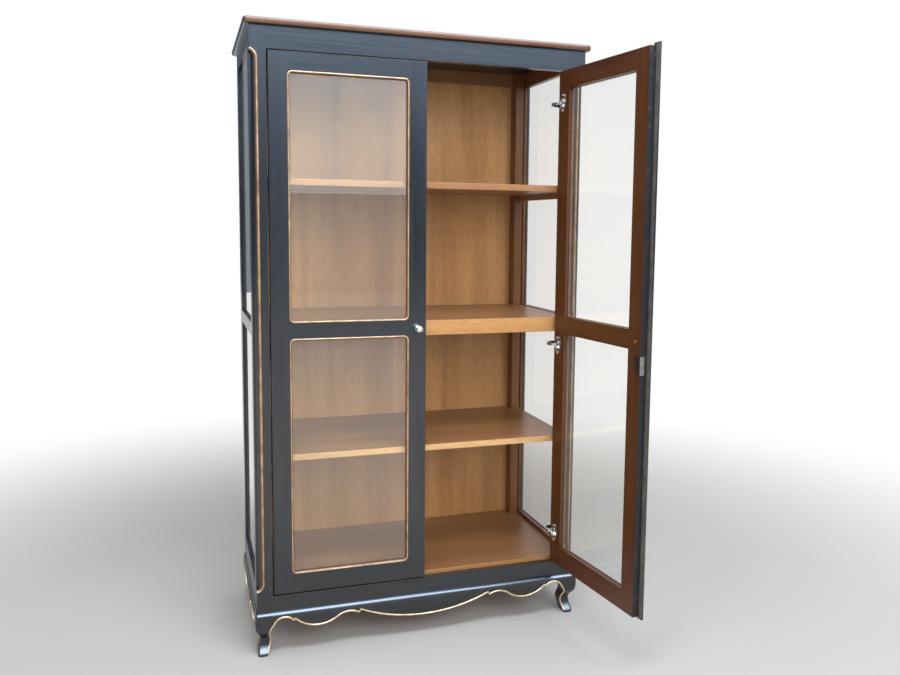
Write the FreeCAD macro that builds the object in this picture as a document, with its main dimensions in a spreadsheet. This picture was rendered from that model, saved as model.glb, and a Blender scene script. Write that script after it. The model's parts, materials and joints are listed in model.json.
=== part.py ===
import FreeCAD, Part
import math
import os
import Sketcher
from types import SimpleNamespace
from FreeCAD import Placement, Rotation, Vector

# Bookcase with two glazed doors on a low stand with curved legs.
# The front faces -Y and +Z is up. The origin lies on the floor, under the middle of the carcass.
# The left door is closed and the right door stands open, carried by concealed hinges with hooked links.

doc = FreeCAD.newDocument("GlazedBookcase")
sheet = doc.addObject("Spreadsheet::Sheet", "Sizes")

# Driving sizes in millimetres
size_table = [
    ("overall_height", 1900, "floor to the top of the top board"),
    ("carcass_width", 1054, "outside of the posts, left to right"),
    ("carcass_depth", 520, "front of the posts to the back of the rear posts"),
    ("stand_height", 140, "floor to the underside of the posts"),
    ("top_thickness", 20, "top board"),
    ("top_side_overhang", 16, "top board past the posts at each side"),
    ("top_front_overhang", 14, "top board past the front"),
    ("top_corner_radius", 14, "front corners of the top board seen from above"),
    ("top_edge_round", 8, "rounding of the upper and lower edge"),
    ("front_post_width", 48, "front post across the front"),
    ("front_post_depth", 60, "front post along the side"),
    ("rear_post_width", 57, "rear post across the back"),
    ("rear_post_depth", 60, "rear post along the side"),
    ("corner_width", 21, "corner moulding of a front post along each face"),
    ("corner_round", 15, "radius of the round inside the corner moulding"),
    ("corner_above_stand", 66, "lower end of the corner moulding above the stand"),
    ("corner_below_top", 67, "upper end of the corner moulding below the top board"),
    ("corner_stop", 24, "length of the curved stop at each end"),
    ("frame_thickness", 22, "doors, side rails, frieze and bottom rail"),
    ("frieze_height", 65, "front rail over the doors"),
    ("bottom_rail_height", 49, "front rail under the doors"),
    ("side_top_rail_height", 50, "side rail under the top board"),
    ("side_middle_rail_above_stand", 842, "lower edge of the middle side rail above the stand"),
    ("side_middle_rail_height", 40, "middle side rail"),
    ("side_bottom_rail_height", 75, "lowest side rail"),
    ("glass_lip", 8, "part of a frame in front of the glass"),
    ("glass_thickness", 4, "panes"),
    ("glass_rebate", 8, "depth of the seat round a pane"),
    ("glass_play", 1, "room round a pane in its seat"),
    ("back_panel_inset", 10, "face of the back panel in front of the rear face"),
    ("back_panel_thickness", 8, "back panel"),
    ("back_rebate_width", 10, "back panel behind each rear post"),
    ("back_rail_height", 44, "rails behind the top and under the bottom board"),
    ("back_rail_thickness", 20, "back rails and back apron"),
    ("shelf_thickness", 20, "shelves"),
    ("shelf_setback", 25, "shelf front behind the carcass front"),
    ("shelf_fit", 0.5, "room between a shelf and what it is fitted round"),
    ("lower_shelf_above_stand", 479, "top of the lower shelf above the stand"),
    ("middle_shelf_above_stand", 880, "top of the middle shelf above the stand"),
    ("upper_shelf_above_stand", 1312, "top of the upper shelf above the stand"),
    ("shelf_rail_height", 48, "front rail of the middle shelf"),
    ("shelf_rail_thickness", 22, "front rail of the middle shelf"),
    ("bottom_board_thickness", 18, "bottom board"),
    ("bottom_board_setback", 24, "bottom board behind the carcass front"),
    ("cleat_width", 20, "shelf cleats"),
    ("cleat_height", 20, "shelf cleats"),
    ("front_bulge", 14, "front apron in front of the carcass"),
    ("side_bulge", 8, "side aprons beside the carcass"),
    ("apron_thickness", 22, "aprons behind the face of the carcass"),
    ("apron_end", 46, "end of the front apron in from the side of the carcass"),
    ("side_apron_end", 44, "end of a side apron in from the front or the back"),
    ("leg_corner_radius", 7, "rounding of the legs"),
    ("stand_joint", 0.2, "joint between an apron and a leg"),
    ("door_gap", 3, "round each door"),
    ("meeting_gap", 3, "between the doors"),
    ("door_stile_width", 60, "door stiles"),
    ("door_top_rail_height", 58, "door top rail"),
    ("door_middle_rail_height", 57, "door middle rail"),
    ("door_bottom_rail_height", 64, "door bottom rail"),
    ("door_lower_opening", 716, "height of the lower opening of a door"),
    ("opening_radius", 10, "corners of the door openings"),
    ("door_edge_ease", 1.5, "chamfer on the front edges of the hinge stile"),
    ("hinge_above_bottom", 105, "lower hinge above the bottom of the door"),
    ("hinge_below_middle", 40.5, "middle hinge below the middle rail of the door"),
    ("hinge_below_top", 100.5, "upper hinge below the top of the door"),
    ("cup_centre", 22.5, "middle of a hinge cup from the hinge edge"),
    ("cup_radius", 17.5, "hinge cup, outside"),
    ("cup_wall", 1, "hinge cup, wall and floor"),
    ("cup_cavity_depth", 11.5, "hinge cup, inside"),
    ("cup_fit", 0.1, "room round a cup in its bore"),
    ("flange_radius", 14, "rounded ends of the cup flange"),
    ("flange_length", 62, "cup flange, up and down"),
    ("flange_thickness", 1.2, "cup flange"),
    ("cup_pin_edge", 9, "cup pin from the hinge edge"),
    ("cup_pin_depth", 18, "cup pin behind the front of the door"),
    ("cup_pin_radius", 1, "cup pin"),
    ("ear_reach", 3.5, "ear from the cup pin towards the free edge"),
    ("ear_heel", 2.2, "ear from the cup pin towards the hinge edge"),
    ("ear_front", 3, "ear in front of the cup pin"),
    ("ear_rear", 3.5, "ear behind the cup pin"),
    ("pin_half_length", 7, "pins and forks above and below the middle of a hinge"),
    ("arm_pin_edge", 45, "arm pin from the hinge edge, towards the middle of the door"),
    ("arm_pin_depth", 35, "arm pin behind the front of the door"),
    ("arm_pin_radius", 1.5, "arm pin"),
    ("pin_play", 0.05, "running clearance round the hinge pins"),
    ("link_half_height", 3.5, "hinge link above and below its middle"),
    ("link_play", 0.3, "room between a link and its forks"),
    ("link_cup_eye", 2, "radius of the link round the cup pin"),
    ("link_arm_eye", 4, "radius of the link round the arm pin"),
    ("hook_floor", 11.4, "nearest the link comes to the front of the door"),
    ("hook_throat", 15.8, "inside of the hook behind the front of the door"),
    ("hook_bend", 3.4, "outer bend of the hook"),
    ("hook_heel", 0.6, "throat bend of the hook"),
    ("hook_throat_near", 13, "throat of the hook, near end, from the hinge edge"),
    ("hook_throat_far", 20.5, "throat of the hook, far end, from the hinge edge"),
    ("hook_floor_far", 23.5, "floor of the hook, far end, from the hinge edge"),
    ("arm_nose", 4.5, "radius of the arm round its pin"),
    ("arm_slot", 7.5, "half width of the slot for the link"),
    ("arm_elbow", 10, "bend of the arm from the hinge edge"),
    ("arm_front", 42, "front of the arm at its plate, behind the front of the door"),
    ("arm_rear", 56, "rear of the arm at its plate, behind the front of the door"),
    ("plate_thickness", 4, "hinge plate"),
    ("plate_front", 29, "front of the hinge plate, behind the front of the door"),
    ("plate_rear", 58, "rear of the hinge plate, behind the front of the door"),
    ("plate_half_height", 24, "hinge plate above and below its middle"),
    ("knob_below_rail", 32, "knob below the upper edge of the middle rail"),
    ("knob_edge", 26, "knob from the free edge of the door"),
    ("knob_radius", 12, "ball of the knob"),
    ("knob_reach", 20, "middle of the ball in front of the door"),
    ("knob_foot_radius", 9, "foot of the knob"),
    ("knob_foot_height", 2, "foot of the knob"),
    ("knob_neck_radius", 4.5, "neck of the knob"),
    ("knob_neck_start", 5, "start of the neck in front of the door"),
    ("knob_screw_radius", 2, "shank of the knob screw"),
    ("knob_screw_fit", 0.2, "room round the knob screw"),
    ("knob_screw_head_radius", 4.5, "head of the knob screw"),
    ("knob_screw_head_height", 1.6, "head of the knob screw"),
    ("strip_overlap", 13, "meeting strip past the free edge"),
    ("strip_seat", 13, "meeting strip on the right door"),
    ("strip_thickness", 9, "meeting strip"),
    ("strip_round", 4, "front edges of the meeting strip"),
    ("strip_above", 10, "meeting strip above the door"),
    ("strip_below", 8, "meeting strip below the door"),
    ("strip_relief", 0.6, "meeting strip clear of what it passes in front of"),
    ("lock_below_rail", 42.5, "middle of the lock below the middle rail of the door"),
    ("lock_half_height", 26.5, "lock above and below its middle"),
    ("lock_depth", 25, "lock in from the free edge"),
    ("lock_front", 7, "front of the lock behind the front of the door"),
    ("lock_proud", 1, "back plate of the lock past the inside of the door"),
    ("lock_forend", 1.5, "edge plate of the lock"),
    ("bolt_front", 11, "front of the bolt behind the front of the door"),
    ("bolt_rear", 17, "rear of the bolt behind the front of the door"),
    ("bolt_half_height", 9, "bolt above and below its middle"),
    ("bolt_length", 17, "bolt"),
    ("bolt_play", 0.3, "room round the bolt"),
    ("strike_pocket", 9, "pocket for the bolt in the left door"),
    ("strike_front", 6, "front of the strike plate behind the front of the door"),
    ("strike_rear", 21, "rear of the strike plate behind the front of the door"),
    ("key_plate_radius", 6, "rounded ends of the key plate"),
    ("key_plate_half_height", 14, "key plate above and below its middle"),
    ("key_plate_thickness", 1.5, "key plate"),
    ("key_hole_radius", 2, "round part of the key hole"),
    ("key_slot_width", 2, "slot of the key hole"),
    ("key_slot_length", 6, "slot of the key hole"),
    ("key_edge", 21, "key hole from the free edge of the door"),
    ("overrun", 5, "cuts reach this far past what they cut"),
]

# Angles in degrees and the share of the door's turn that the links make the other way
open_angle = 96.5
link_turn_share = 0.45

# Lower edge of the front apron from the middle outwards: shares of half the width and of the stand height
apron_middle_share = (0.507, 0.402, 0.843)
apron_arch_shares = [
    ((0.412, 0.779), (0.469, 0.836), (0.550, 0.721)),
    ((0.550, 0.721), (0.655, 0.607), (0.786, 0.836)),
    ((0.793, 0.786), (0.846, 0.889), (0.913, 0.705)),
]
# Lower edge of a side apron: shares of half the depth and of the stand height
side_middle_share = (0.56, 0.42, 0.82)
side_arch_shares = [((0.435, 0.76), (0.60, 0.875), (0.83, 0.750))]
# Section of an apron: shares of the bulge outwards and of the stand height upwards
apron_flat_share = 0.30
apron_shoulder_shares = ((0.78, 0.975), (1.0, 0.915))
apron_belly_shares = ((0.86, 0.72), (0.25, 0.43))
# Legs from the floor up: height as a share of the stand height, past the side and in from the side
# as shares of the front apron's end, past the front and in from the front as shares of a side apron's end
leg_shares = [
    (0.000, -0.065, 0.674, -0.005, 1.295),
    (0.057, -0.048, 0.709, -0.023, 1.341),
    (0.143, -0.087, 0.789, -0.216, 1.386),
    (0.236, -0.137, 0.876, -0.341, 1.409),
    (0.336, -0.178, 0.913, -0.352, 1.386),
    (0.414, -0.178, 0.880, -0.239, 1.318),
    (0.486, -0.098, 0.830, -0.045, 1.205),
    (0.571, 0.039, 0.833, 0.193, 1.068),
    (0.650, 0.109, 0.902, 0.286, 0.995),
    (0.705, 0.135, 0.985, 0.300, 0.967),
    (0.780, 0.143, 0.990, 0.309, 0.967),
    (0.915, 0.120, 0.990, 0.314, 0.967),
    (0.975, 0.087, 0.990, 0.250, 0.967),
    (1.000, 0.043, 0.990, 0.095, 0.967),
]
corner_bend_share = (0.27, 0.4125)


class Length:
    # A number in millimetres together with the sheet expression that gives it
    def __init__(self, value, text):
        self.value = value
        self.text = text

    def __add__(self, other):
        other = as_length(other)
        return Length(self.value + other.value, "(%s + %s)" % (self.text, other.text))

    def __sub__(self, other):
        other = as_length(other)
        return Length(self.value - other.value, "(%s - %s)" % (self.text, other.text))

    def __mul__(self, share):
        share = as_length(share)
        return Length(self.value * share.value, "(%s * %s)" % (self.text, share.text))

    def __truediv__(self, share):
        share = as_length(share)
        return Length(self.value / share.value, "(%s / %s)" % (self.text, share.text))

    def __neg__(self):
        return Length(-self.value, "(0 - %s)" % self.text)


def as_length(number):
    if isinstance(number, Length):
        return number
    return Length(float(number), "(%r)" % float(number))


def chord_rise(radius, half_chord):
    # Distance of a chord from the middle of its circle
    value = math.sqrt(radius.value ** 2 - half_chord.value ** 2)
    text = "sqrt(%s ^ 2 - %s ^ 2)" % (radius.text, half_chord.text)
    return Length(value, "(%s)" % text)


size = SimpleNamespace()
for row, (name, number, note) in enumerate(size_table, 1):
    sheet.set("A%d" % row, name)
    sheet.set("B%d" % row, str(number))
    sheet.set("C%d" % row, note)
    sheet.setAlias("B%d" % row, name)
    setattr(size, name, Length(float(number), "Sizes." + name))
doc.recompute()

nothing = as_length(0)
same_place = 1e-6


# Tools for making pieces
def bind(thing, prop, length):
    thing.setExpression(prop, length.text)


def put(thing, x, y, z):
    bind(thing, "Placement.Base.x", as_length(x))
    bind(thing, "Placement.Base.y", as_length(y))
    bind(thing, "Placement.Base.z", as_length(z))


def box(name, x, y, z):
    # x, y and z are pairs: low end and high end
    block = doc.addObject("Part::Box", name)
    bind(block, "Length", as_length(x[1]) - x[0])
    bind(block, "Width", as_length(y[1]) - y[0])
    bind(block, "Height", as_length(z[1]) - z[0])
    put(block, x[0], y[0], z[0])
    return block


def rod(name, radius, axis, middle, low, high):
    # middle holds the two coordinates across the axis, in the order X, Y, Z
    bar = doc.addObject("Part::Cylinder", name)
    bind(bar, "Radius", radius)
    bind(bar, "Height", as_length(high) - low)
    if axis == "y":
        bar.Placement = Placement(Vector(), Rotation(Vector(1, 0, 0), -90))
        put(bar, middle[0], low, middle[1])
    else:
        put(bar, middle[0], middle[1], low)
    return bar


def join(name, pieces):
    whole = doc.addObject("Part::MultiFuse", name)
    whole.Shapes = pieces
    return whole


def cut(name, base, tools):
    rest = doc.addObject("Part::Cut", name)
    rest.Base = base
    rest.Tool = tools[0] if len(tools) == 1 else join(name + "_tools", tools)
    return rest


def overlap(name, pieces):
    shared = doc.addObject("Part::MultiCommon", name)
    shared.Shapes = pieces
    return shared


def group(name, pieces):
    several = doc.addObject("Part::Compound", name)
    several.Links = pieces
    return several


def mirrored(name, source):
    twin = doc.addObject("Part::Mirroring", name)
    twin.Source = source
    twin.Normal = Vector(1, 0, 0)
    return twin


def point(pair):
    return Vector(as_length(pair[0]).value, as_length(pair[1]).value, 0)


def hold(drawing, number, end, pair):
    for kind, length in zip(("DistanceX", "DistanceY"), pair):
        length = as_length(length)
        mark = drawing.addConstraint(Sketcher.Constraint(kind, -1, 1, number, end, length.value))
        drawing.setExpression("Constraints[%d]" % mark, length.text)


def arc_through(start, middle, end):
    # Arcs in a sketch run anticlockwise, so the ends may change places
    circle = Part.Circle(start, middle, end)
    turns = [math.atan2((p - circle.Center).y, (p - circle.Center).x) for p in (start, middle, end)]
    full = 2 * math.pi
    forwards = (turns[1] - turns[0]) % full < (turns[2] - turns[0]) % full
    low, high = (turns[0], turns[2]) if forwards else (turns[2], turns[0])
    round_line = Part.Circle(circle.Center, Vector(0, 0, 1), circle.Radius)
    high = low + (high - low) % full
    return Part.ArcOfCircle(round_line, low, high), (1, 2) if forwards else (2, 1)


def draw(body, name, role, offset, path):
    # A path starts with a point; a pair goes straight to a point, a four bends through a point to a point
    drawing = body.newObject("Sketcher::SketchObject", name)
    plane = next(part for part in body.Origin.OriginFeatures if part.Role == role)
    drawing.AttachmentSupport = [(plane, "")]
    drawing.MapMode = "FlatFace"
    bind(drawing, "AttachmentOffset.Base.z", as_length(offset))
    lines = []
    here = path[0]
    steps = path[1:]
    if not point(path[-1][-2:]).isEqual(point(path[0]), same_place):
        steps = steps + [path[0]]
    for step in steps:
        there = step[-2:]
        if len(step) == 4:
            curve, ends = arc_through(point(here), point(step[:2]), point(there))
        else:
            curve, ends = Part.LineSegment(point(here), point(there)), (1, 2)
        number = drawing.addGeometry(curve, False)
        hold(drawing, number, ends[1], there)
        if len(step) == 4:
            mark = drawing.addGeometry(Part.Point(point(step[:2])), True)
            hold(drawing, mark, 1, step[:2])
            drawing.addConstraint(Sketcher.Constraint("PointOnObject", mark, 1, number))
        lines.append((number, ends))
        here = there
    for last, line in zip([lines[-1]] + lines[:-1], lines):
        drawing.addConstraint(Sketcher.Constraint("Coincident", last[0], last[1][1], line[0], line[1][0]))
    return drawing


def prism(name, role, path, low, high):
    # The path is drawn in X and Y, X and Z or Y and Z, and padded from low to high along the third way
    body = doc.addObject("PartDesign::Body", name)
    low = as_length(low)
    facing_front = role == "XZ_Plane"
    drawing = draw(body, name + "_outline", role, -low if facing_front else low, path)
    pad = body.newObject("PartDesign::Pad", name + "_pad")
    pad.Profile = drawing
    pad.Reversed = facing_front
    bind(pad, "Length", as_length(high) - low)
    return body


nodes = []


def node(label, pieces, placement=None):
    whole = group(label, pieces)
    whole.Label = label
    if placement is not None:
        whole.Placement = placement
    nodes.append(whole)
    return whole


# Places that many pieces share
half_width = size.carcass_width / 2
front = -size.carcass_depth / 2
rear = size.carcass_depth / 2
carcass_top = size.overall_height - size.top_thickness
stand_top = size.stand_height
post_inside = half_width - size.front_post_width
rear_post_inside = half_width - size.rear_post_width
side_inside = half_width - size.frame_thickness
front_post_rear = front + size.front_post_depth
rear_post_front = rear - size.rear_post_depth
panel_face = rear - size.back_panel_inset
opening_low = stand_top + size.bottom_rail_height
opening_high = carcass_top - size.frieze_height
glass_rear = size.glass_lip + size.glass_thickness
seat_play = size.glass_rebate - size.glass_play


# Top board with rounded front corners and rounded edges
top_side = half_width + size.top_side_overhang
top_front = front - size.top_front_overhang
corner_bend = size.top_corner_radius * (1 - math.sqrt(0.5))
top_path = [
    (top_side, rear),
    (-top_side, rear),
    (-top_side, top_front + size.top_corner_radius),
    (-top_side + corner_bend, top_front + corner_bend, -top_side + size.top_corner_radius, top_front),
    (top_side - size.top_corner_radius, top_front),
    (top_side - corner_bend, top_front + corner_bend, top_side, top_front + size.top_corner_radius),
]
top_board = prism("top_board_body", "XY_Plane", top_path, carcass_top, size.overall_height)
doc.recompute()
top_edges = []
for number, edge in enumerate(top_board.Shape.Edges, 1):
    box_of_edge = edge.BoundBox
    is_level = box_of_edge.ZLength < size.glass_play.value
    is_rear = box_of_edge.YMin > rear.value - size.glass_play.value
    if is_level and not is_rear:
        top_edges.append("Edge%d" % number)
top_pad = top_board.Tip
rounding = top_board.newObject("PartDesign::Fillet", "top_rounding")
rounding.Base = (top_pad, top_edges)
bind(rounding, "Radius", size.top_edge_round)
node("top_board", [top_board])

# Front frieze and bottom rail, back rails and back panel
front_span = (-post_inside, post_inside)
frame_span = (front, front + size.frame_thickness)
node("front_frieze", [box("frieze", front_span, frame_span, (opening_high, carcass_top))])
node("front_bottom_rail", [box("low_rail", front_span, frame_span, (stand_top, opening_low))])
back_span = (-rear_post_inside, rear_post_inside)
back_rail_span = (panel_face - size.back_rail_thickness, panel_face)
back_rails = [
    box("back_rail_high", back_span, back_rail_span, (carcass_top - size.back_rail_height, carcass_top)),
    box("back_rail_low", back_span, back_rail_span, (stand_top, stand_top + size.back_rail_height)),
]
node("back_rails", back_rails)
panel_side = rear_post_inside + size.back_rebate_width
panel_span = (panel_face, panel_face + size.back_panel_thickness)
node("back_panel", [box("panel", (-panel_side, panel_side), panel_span, (stand_top, carcass_top))])

# Seats for the side panes, shared by the posts, the rails, the panes and the beads
side_lip_inside = half_width - size.glass_lip
side_glass_inside = half_width - glass_rear
middle_rail_low = stand_top + size.side_middle_rail_above_stand
middle_rail_high = middle_rail_low + size.side_middle_rail_height
side_openings = [
    (stand_top + size.side_bottom_rail_height, middle_rail_low),
    (middle_rail_high, carcass_top - size.side_top_rail_height),
]
seat_span = (front_post_rear - size.glass_rebate, rear_post_front + size.glass_rebate)


def side_seats(name):
    seats = []
    for number, (low, high) in enumerate(side_openings, 1):
        upright = (low - size.glass_rebate, high + size.glass_rebate)
        across = (side_inside - size.overrun, side_lip_inside)
        seats.append(box("%s_seat_%d" % (name, number), across, seat_span, upright))
    return seats


# Front posts with a stopped moulding on the outer corner: a round between two steps
corner_low = stand_top + size.corner_above_stand
corner_high = carcass_top - size.corner_below_top
corner_side = half_width - size.corner_width
bend_across = corner_side + size.corner_width * corner_bend_share[0]
bend_along = size.corner_stop * corner_bend_share[1]
corner_past = half_width + size.overrun
corner_path = [
    (corner_past, corner_low),
    (half_width, corner_low),
    (bend_across, corner_low + bend_along, corner_side, corner_low + size.corner_stop),
    (corner_side, corner_high - size.corner_stop),
    (bend_across, corner_high - bend_along, half_width, corner_high),
    (corner_past, corner_high),
]
corner_rear = front + size.corner_width
corner_recess = prism("corner_recess", "XZ_Plane", corner_path, front - size.overrun, corner_rear)
corner_middle = (corner_side, corner_rear)
corner_bar = rod("corner_bar", size.corner_round, "z", corner_middle, stand_top, carcass_top)
corner_tool = cut("corner_tool", corner_recess, [corner_bar])
post_height = (stand_top, carcass_top)
front_post_blank = box("front_post", (post_inside, half_width), (front, front_post_rear), post_height)
right_front_post = cut("front_post_cut", front_post_blank, [corner_tool] + side_seats("front_post"))
node("right_front_post", [right_front_post])
node("left_front_post", [mirrored("front_post_twin", right_front_post)])

# Rear posts with a rebate for the back panel
rear_post_blank = box("rear_post", (rear_post_inside, half_width), (rear_post_front, rear), post_height)
panel_rebate = box(
    "panel_rebate",
    (rear_post_inside - size.overrun, panel_side),
    (panel_face, rear + size.overrun),
    (stand_top - size.overrun, carcass_top + size.overrun),
)
right_rear_post = cut("rear_post_cut", rear_post_blank, [panel_rebate] + side_seats("rear_post"))
node("right_rear_post", [right_rear_post])
node("left_rear_post", [mirrored("rear_post_twin", right_rear_post)])

# Side rails
side_rail_spans = {
    "bottom": (stand_top, side_openings[0][0]),
    "middle": (side_openings[0][1], side_openings[1][0]),
    "top": (side_openings[1][1], carcass_top),
}
for place, upright in side_rail_spans.items():
    blank = box(place + "_side_rail", (side_inside, half_width), (front_post_rear, rear_post_front), upright)
    rail = cut(place + "_side_rail_cut", blank, side_seats(place + "_side_rail"))
    node("right_side_%s_rail" % place, [rail])
    node("left_side_%s_rail" % place, [mirrored(place + "_side_rail_twin", rail)])

# Side panes and the beads that hold them from the inside
pane_span = (front_post_rear - seat_play, rear_post_front + seat_play)
pane_across = (side_glass_inside, side_lip_inside)
bead_across = (side_inside, side_glass_inside)
right_panes = []
right_beads = []
for place, (low, high) in zip(("lower", "upper"), side_openings):
    upright = (low - seat_play, high + seat_play)
    right_panes.append(box(place + "_side_pane", pane_across, pane_span, upright))
    whole = (low - size.glass_rebate, high + size.glass_rebate)
    right_beads.append(box(place + "_bead_front", bead_across, (seat_span[0], front_post_rear), whole))
    right_beads.append(box(place + "_bead_rear", bead_across, (rear_post_front, seat_span[1]), whole))
    between = (front_post_rear, rear_post_front)
    right_beads.append(box(place + "_bead_low", bead_across, between, (whole[0], low)))
    right_beads.append(box(place + "_bead_high", bead_across, between, (high, whole[1])))
right_side_glass = group("side_panes", right_panes)
node("right_side_glass", [right_side_glass])
node("left_side_glass", [mirrored("side_panes_twin", right_side_glass)])
side_beads = group("side_beads", right_beads)
node("side_glass_beads", [side_beads, mirrored("side_beads_twin", side_beads)])


# Shelves notched round the four posts
def shelf(label, top, thickness, setback):
    near = post_inside - size.shelf_fit
    wide = side_inside - size.shelf_fit
    far = rear_post_inside - size.shelf_fit
    notch_front = front_post_rear + size.shelf_fit
    notch_rear = rear_post_front - size.shelf_fit
    back = panel_face
    right_half = [
        (near, front + setback),
        (near, notch_front),
        (wide, notch_front),
        (wide, notch_rear),
        (far, notch_rear),
        (far, back),
    ]
    left_half = [(-x, y) for x, y in reversed(right_half)]
    board = prism(label + "_board", "XY_Plane", right_half + left_half, top - thickness, top)
    node(label, [board])


bottom_board_low = stand_top + size.back_rail_height
bottom_board_top = bottom_board_low + size.bottom_board_thickness
lower_shelf_top = stand_top + size.lower_shelf_above_stand
middle_shelf_top = stand_top + size.middle_shelf_above_stand
upper_shelf_top = stand_top + size.upper_shelf_above_stand
shelf("bottom_board", bottom_board_top, size.bottom_board_thickness, size.bottom_board_setback)
shelf("lower_shelf", lower_shelf_top, size.shelf_thickness, size.shelf_setback)
middle_setback = size.shelf_setback + size.shelf_rail_thickness
shelf("middle_shelf", middle_shelf_top, size.shelf_thickness, middle_setback)
shelf("upper_shelf", upper_shelf_top, size.shelf_thickness, size.shelf_setback)
shelf_rail_span = (front + size.shelf_setback, front + middle_setback)
shelf_rail_low = middle_shelf_top - size.shelf_rail_height
shelf_rail = box("shelf_rail", front_span, shelf_rail_span, (shelf_rail_low, middle_shelf_top))
node("middle_shelf_rail", [shelf_rail])

# Cleats under the ends of the boards, from post to post
cleat_tops = [
    bottom_board_low,
    lower_shelf_top - size.shelf_thickness,
    middle_shelf_top - size.shelf_thickness,
    upper_shelf_top - size.shelf_thickness,
]
cleat_across = (side_inside - size.cleat_width, side_inside)
cleat_along = (front_post_rear, rear_post_front)
cleats = []
for number, top in enumerate(cleat_tops, 1):
    cleats.append(box("cleat_%d" % number, cleat_across, cleat_along, (top - size.cleat_height, top)))
right_cleats = group("right_cleats", cleats)
node("shelf_cleats", [right_cleats, mirrored("left_cleats", right_cleats)])


# Aprons: a bulged section along the edge of the stand, trimmed to a scalloped lower edge
def apron_section(name, role, face, inward, bulge, low, high):
    # inward is +1 or -1: the way from the face into the stand
    def out(share):
        return face - bulge * (share * inward)

    inside = face + size.apron_thickness * inward
    (shoulder_mid, shoulder_mid_rise), (shoulder_end, shoulder_end_rise) = apron_shoulder_shares
    (belly_mid, belly_mid_rise), (belly_end, belly_end_rise) = apron_belly_shares
    path = [
        (inside, stand_top),
        (out(apron_flat_share), stand_top),
        (out(shoulder_mid), stand_top * shoulder_mid_rise, out(shoulder_end), stand_top * shoulder_end_rise),
        (out(belly_mid), stand_top * belly_mid_rise, out(belly_end), stand_top * belly_end_rise),
        (inside, stand_top * belly_end_rise),
    ]
    return prism(name, role, path, low, high)


def scalloped_path(half, end, middle_share, arch_shares):
    middle_rise, middle_half, middle_end_rise = middle_share
    arch_low = stand_top * middle_rise
    arch_end = (half * middle_half, stand_top * middle_end_rise)
    path = [(-arch_end[0], arch_end[1]), (nothing, arch_low) + arch_end]
    here = arch_end
    outward = []
    for start, bend, finish in arch_shares:
        begin = (half * start[0], stand_top * start[1])
        if begin[0].value != here[0].value:
            outward.append(begin)
        reach = end if finish is arch_shares[-1][2] else half * finish[0]
        here = (reach, stand_top * finish[1])
        outward.append((half * bend[0], stand_top * bend[1]) + here)
    path += outward
    path.append((end, stand_top))
    path.append((-end, stand_top))
    path.append((-end, here[1]))
    stops = [arch_end] + [step[-2:] for step in outward]
    for step, stop in zip(reversed(outward), reversed(stops[:-1])):
        bend = (-step[0], step[1]) if len(step) == 4 else ()
        path.append(bend + (-stop[0], stop[1]))
    return path


apron_reach = half_width - size.apron_end - size.stand_joint
front_section = apron_section("front_section", "YZ_Plane", front, 1, size.front_bulge, -apron_reach, apron_reach)
front_edge = scalloped_path(half_width, apron_reach, apron_middle_share, apron_arch_shares)
edge_depth = (front - size.front_bulge - size.overrun, front + size.apron_thickness + size.overrun)
front_trim = prism("front_trim", "XZ_Plane", front_edge, edge_depth[0], edge_depth[1])
node("front_apron", [overlap("front_apron_shape", [front_section, front_trim])])

side_reach = rear - size.side_apron_end - size.stand_joint
side_section = apron_section("side_section", "XZ_Plane", half_width, -1, size.side_bulge, -side_reach, side_reach)
side_edge = scalloped_path(rear, side_reach, side_middle_share, side_arch_shares)
side_depth = (half_width - size.apron_thickness - size.overrun, half_width + size.side_bulge + size.overrun)
side_trim = prism("side_trim", "YZ_Plane", side_edge, side_depth[0], side_depth[1])
right_apron = overlap("side_apron_shape", [side_section, side_trim])
node("right_apron", [right_apron])
node("left_apron", [mirrored("side_apron_twin", right_apron)])
back_apron_low = stand_top * side_middle_share[2]
back_apron_span = (rear - size.back_rail_thickness, rear)
back_apron = box("back_bar", (-apron_reach, apron_reach), back_apron_span, (back_apron_low, stand_top))
node("back_apron", [back_apron])


# Legs: rounded squares lofted from the foot over the ankle to the knee
def rounded_square(x, y):
    radius = size.leg_corner_radius
    bend = radius * (1 - math.sqrt(0.5))
    return [
        (x[0] + radius, y[0]),
        (x[1] - radius, y[0]),
        (x[1] - bend, y[0] + bend, x[1], y[0] + radius),
        (x[1], y[1] - radius),
        (x[1] - bend, y[1] - bend, x[1] - radius, y[1]),
        (x[0] + radius, y[1]),
        (x[0] + bend, y[1] - bend, x[0], y[1] - radius),
        (x[0], y[0] + radius),
        (x[0] + bend, y[0] + bend, x[0] + radius, y[0]),
    ]


def smooth_rows(rows, steps):
    # Rows between the given rows, on a curve that passes smoothly through all of them
    ends = [rows[0]] + rows + [rows[-1]]
    dense = []
    for before, low, high, after in zip(ends, ends[1:], ends[2:], ends[3:]):
        for step in range(steps):
            share = step / steps
            row = []
            for a, b, c, d in zip(before, low, high, after):
                slope = (c - a) * share + (2 * a - 5 * b + 4 * c - d) * share ** 2
                row.append(b + (slope + (3 * b - a - 3 * c + d) * share ** 3) / 2)
            dense.append(tuple(row))
    return dense + [rows[-1]]


def leg(name, at_front):
    body = doc.addObject("PartDesign::Body", name)
    drawings = []
    for number, row in enumerate(smooth_rows(leg_shares, 2), 1):
        rise, past_side, in_side, past_front, in_front = row
        x = (half_width - size.apron_end * in_side, half_width + size.apron_end * past_side)
        deep = size.side_apron_end
        if at_front:
            y = (front - deep * past_front, front + deep * in_front)
        else:
            y = (rear - deep * in_front, rear + deep * min(past_front, 0))
        section = "%s_section_%d" % (name, number)
        drawings.append(draw(body, section, "XY_Plane", stand_top * rise, rounded_square(x, y)))
    loft = body.newObject("PartDesign::AdditiveLoft", name + "_loft")
    loft.Profile = drawings[0]
    loft.Sections = drawings[1:]
    loft.Ruled = True
    return body


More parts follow.
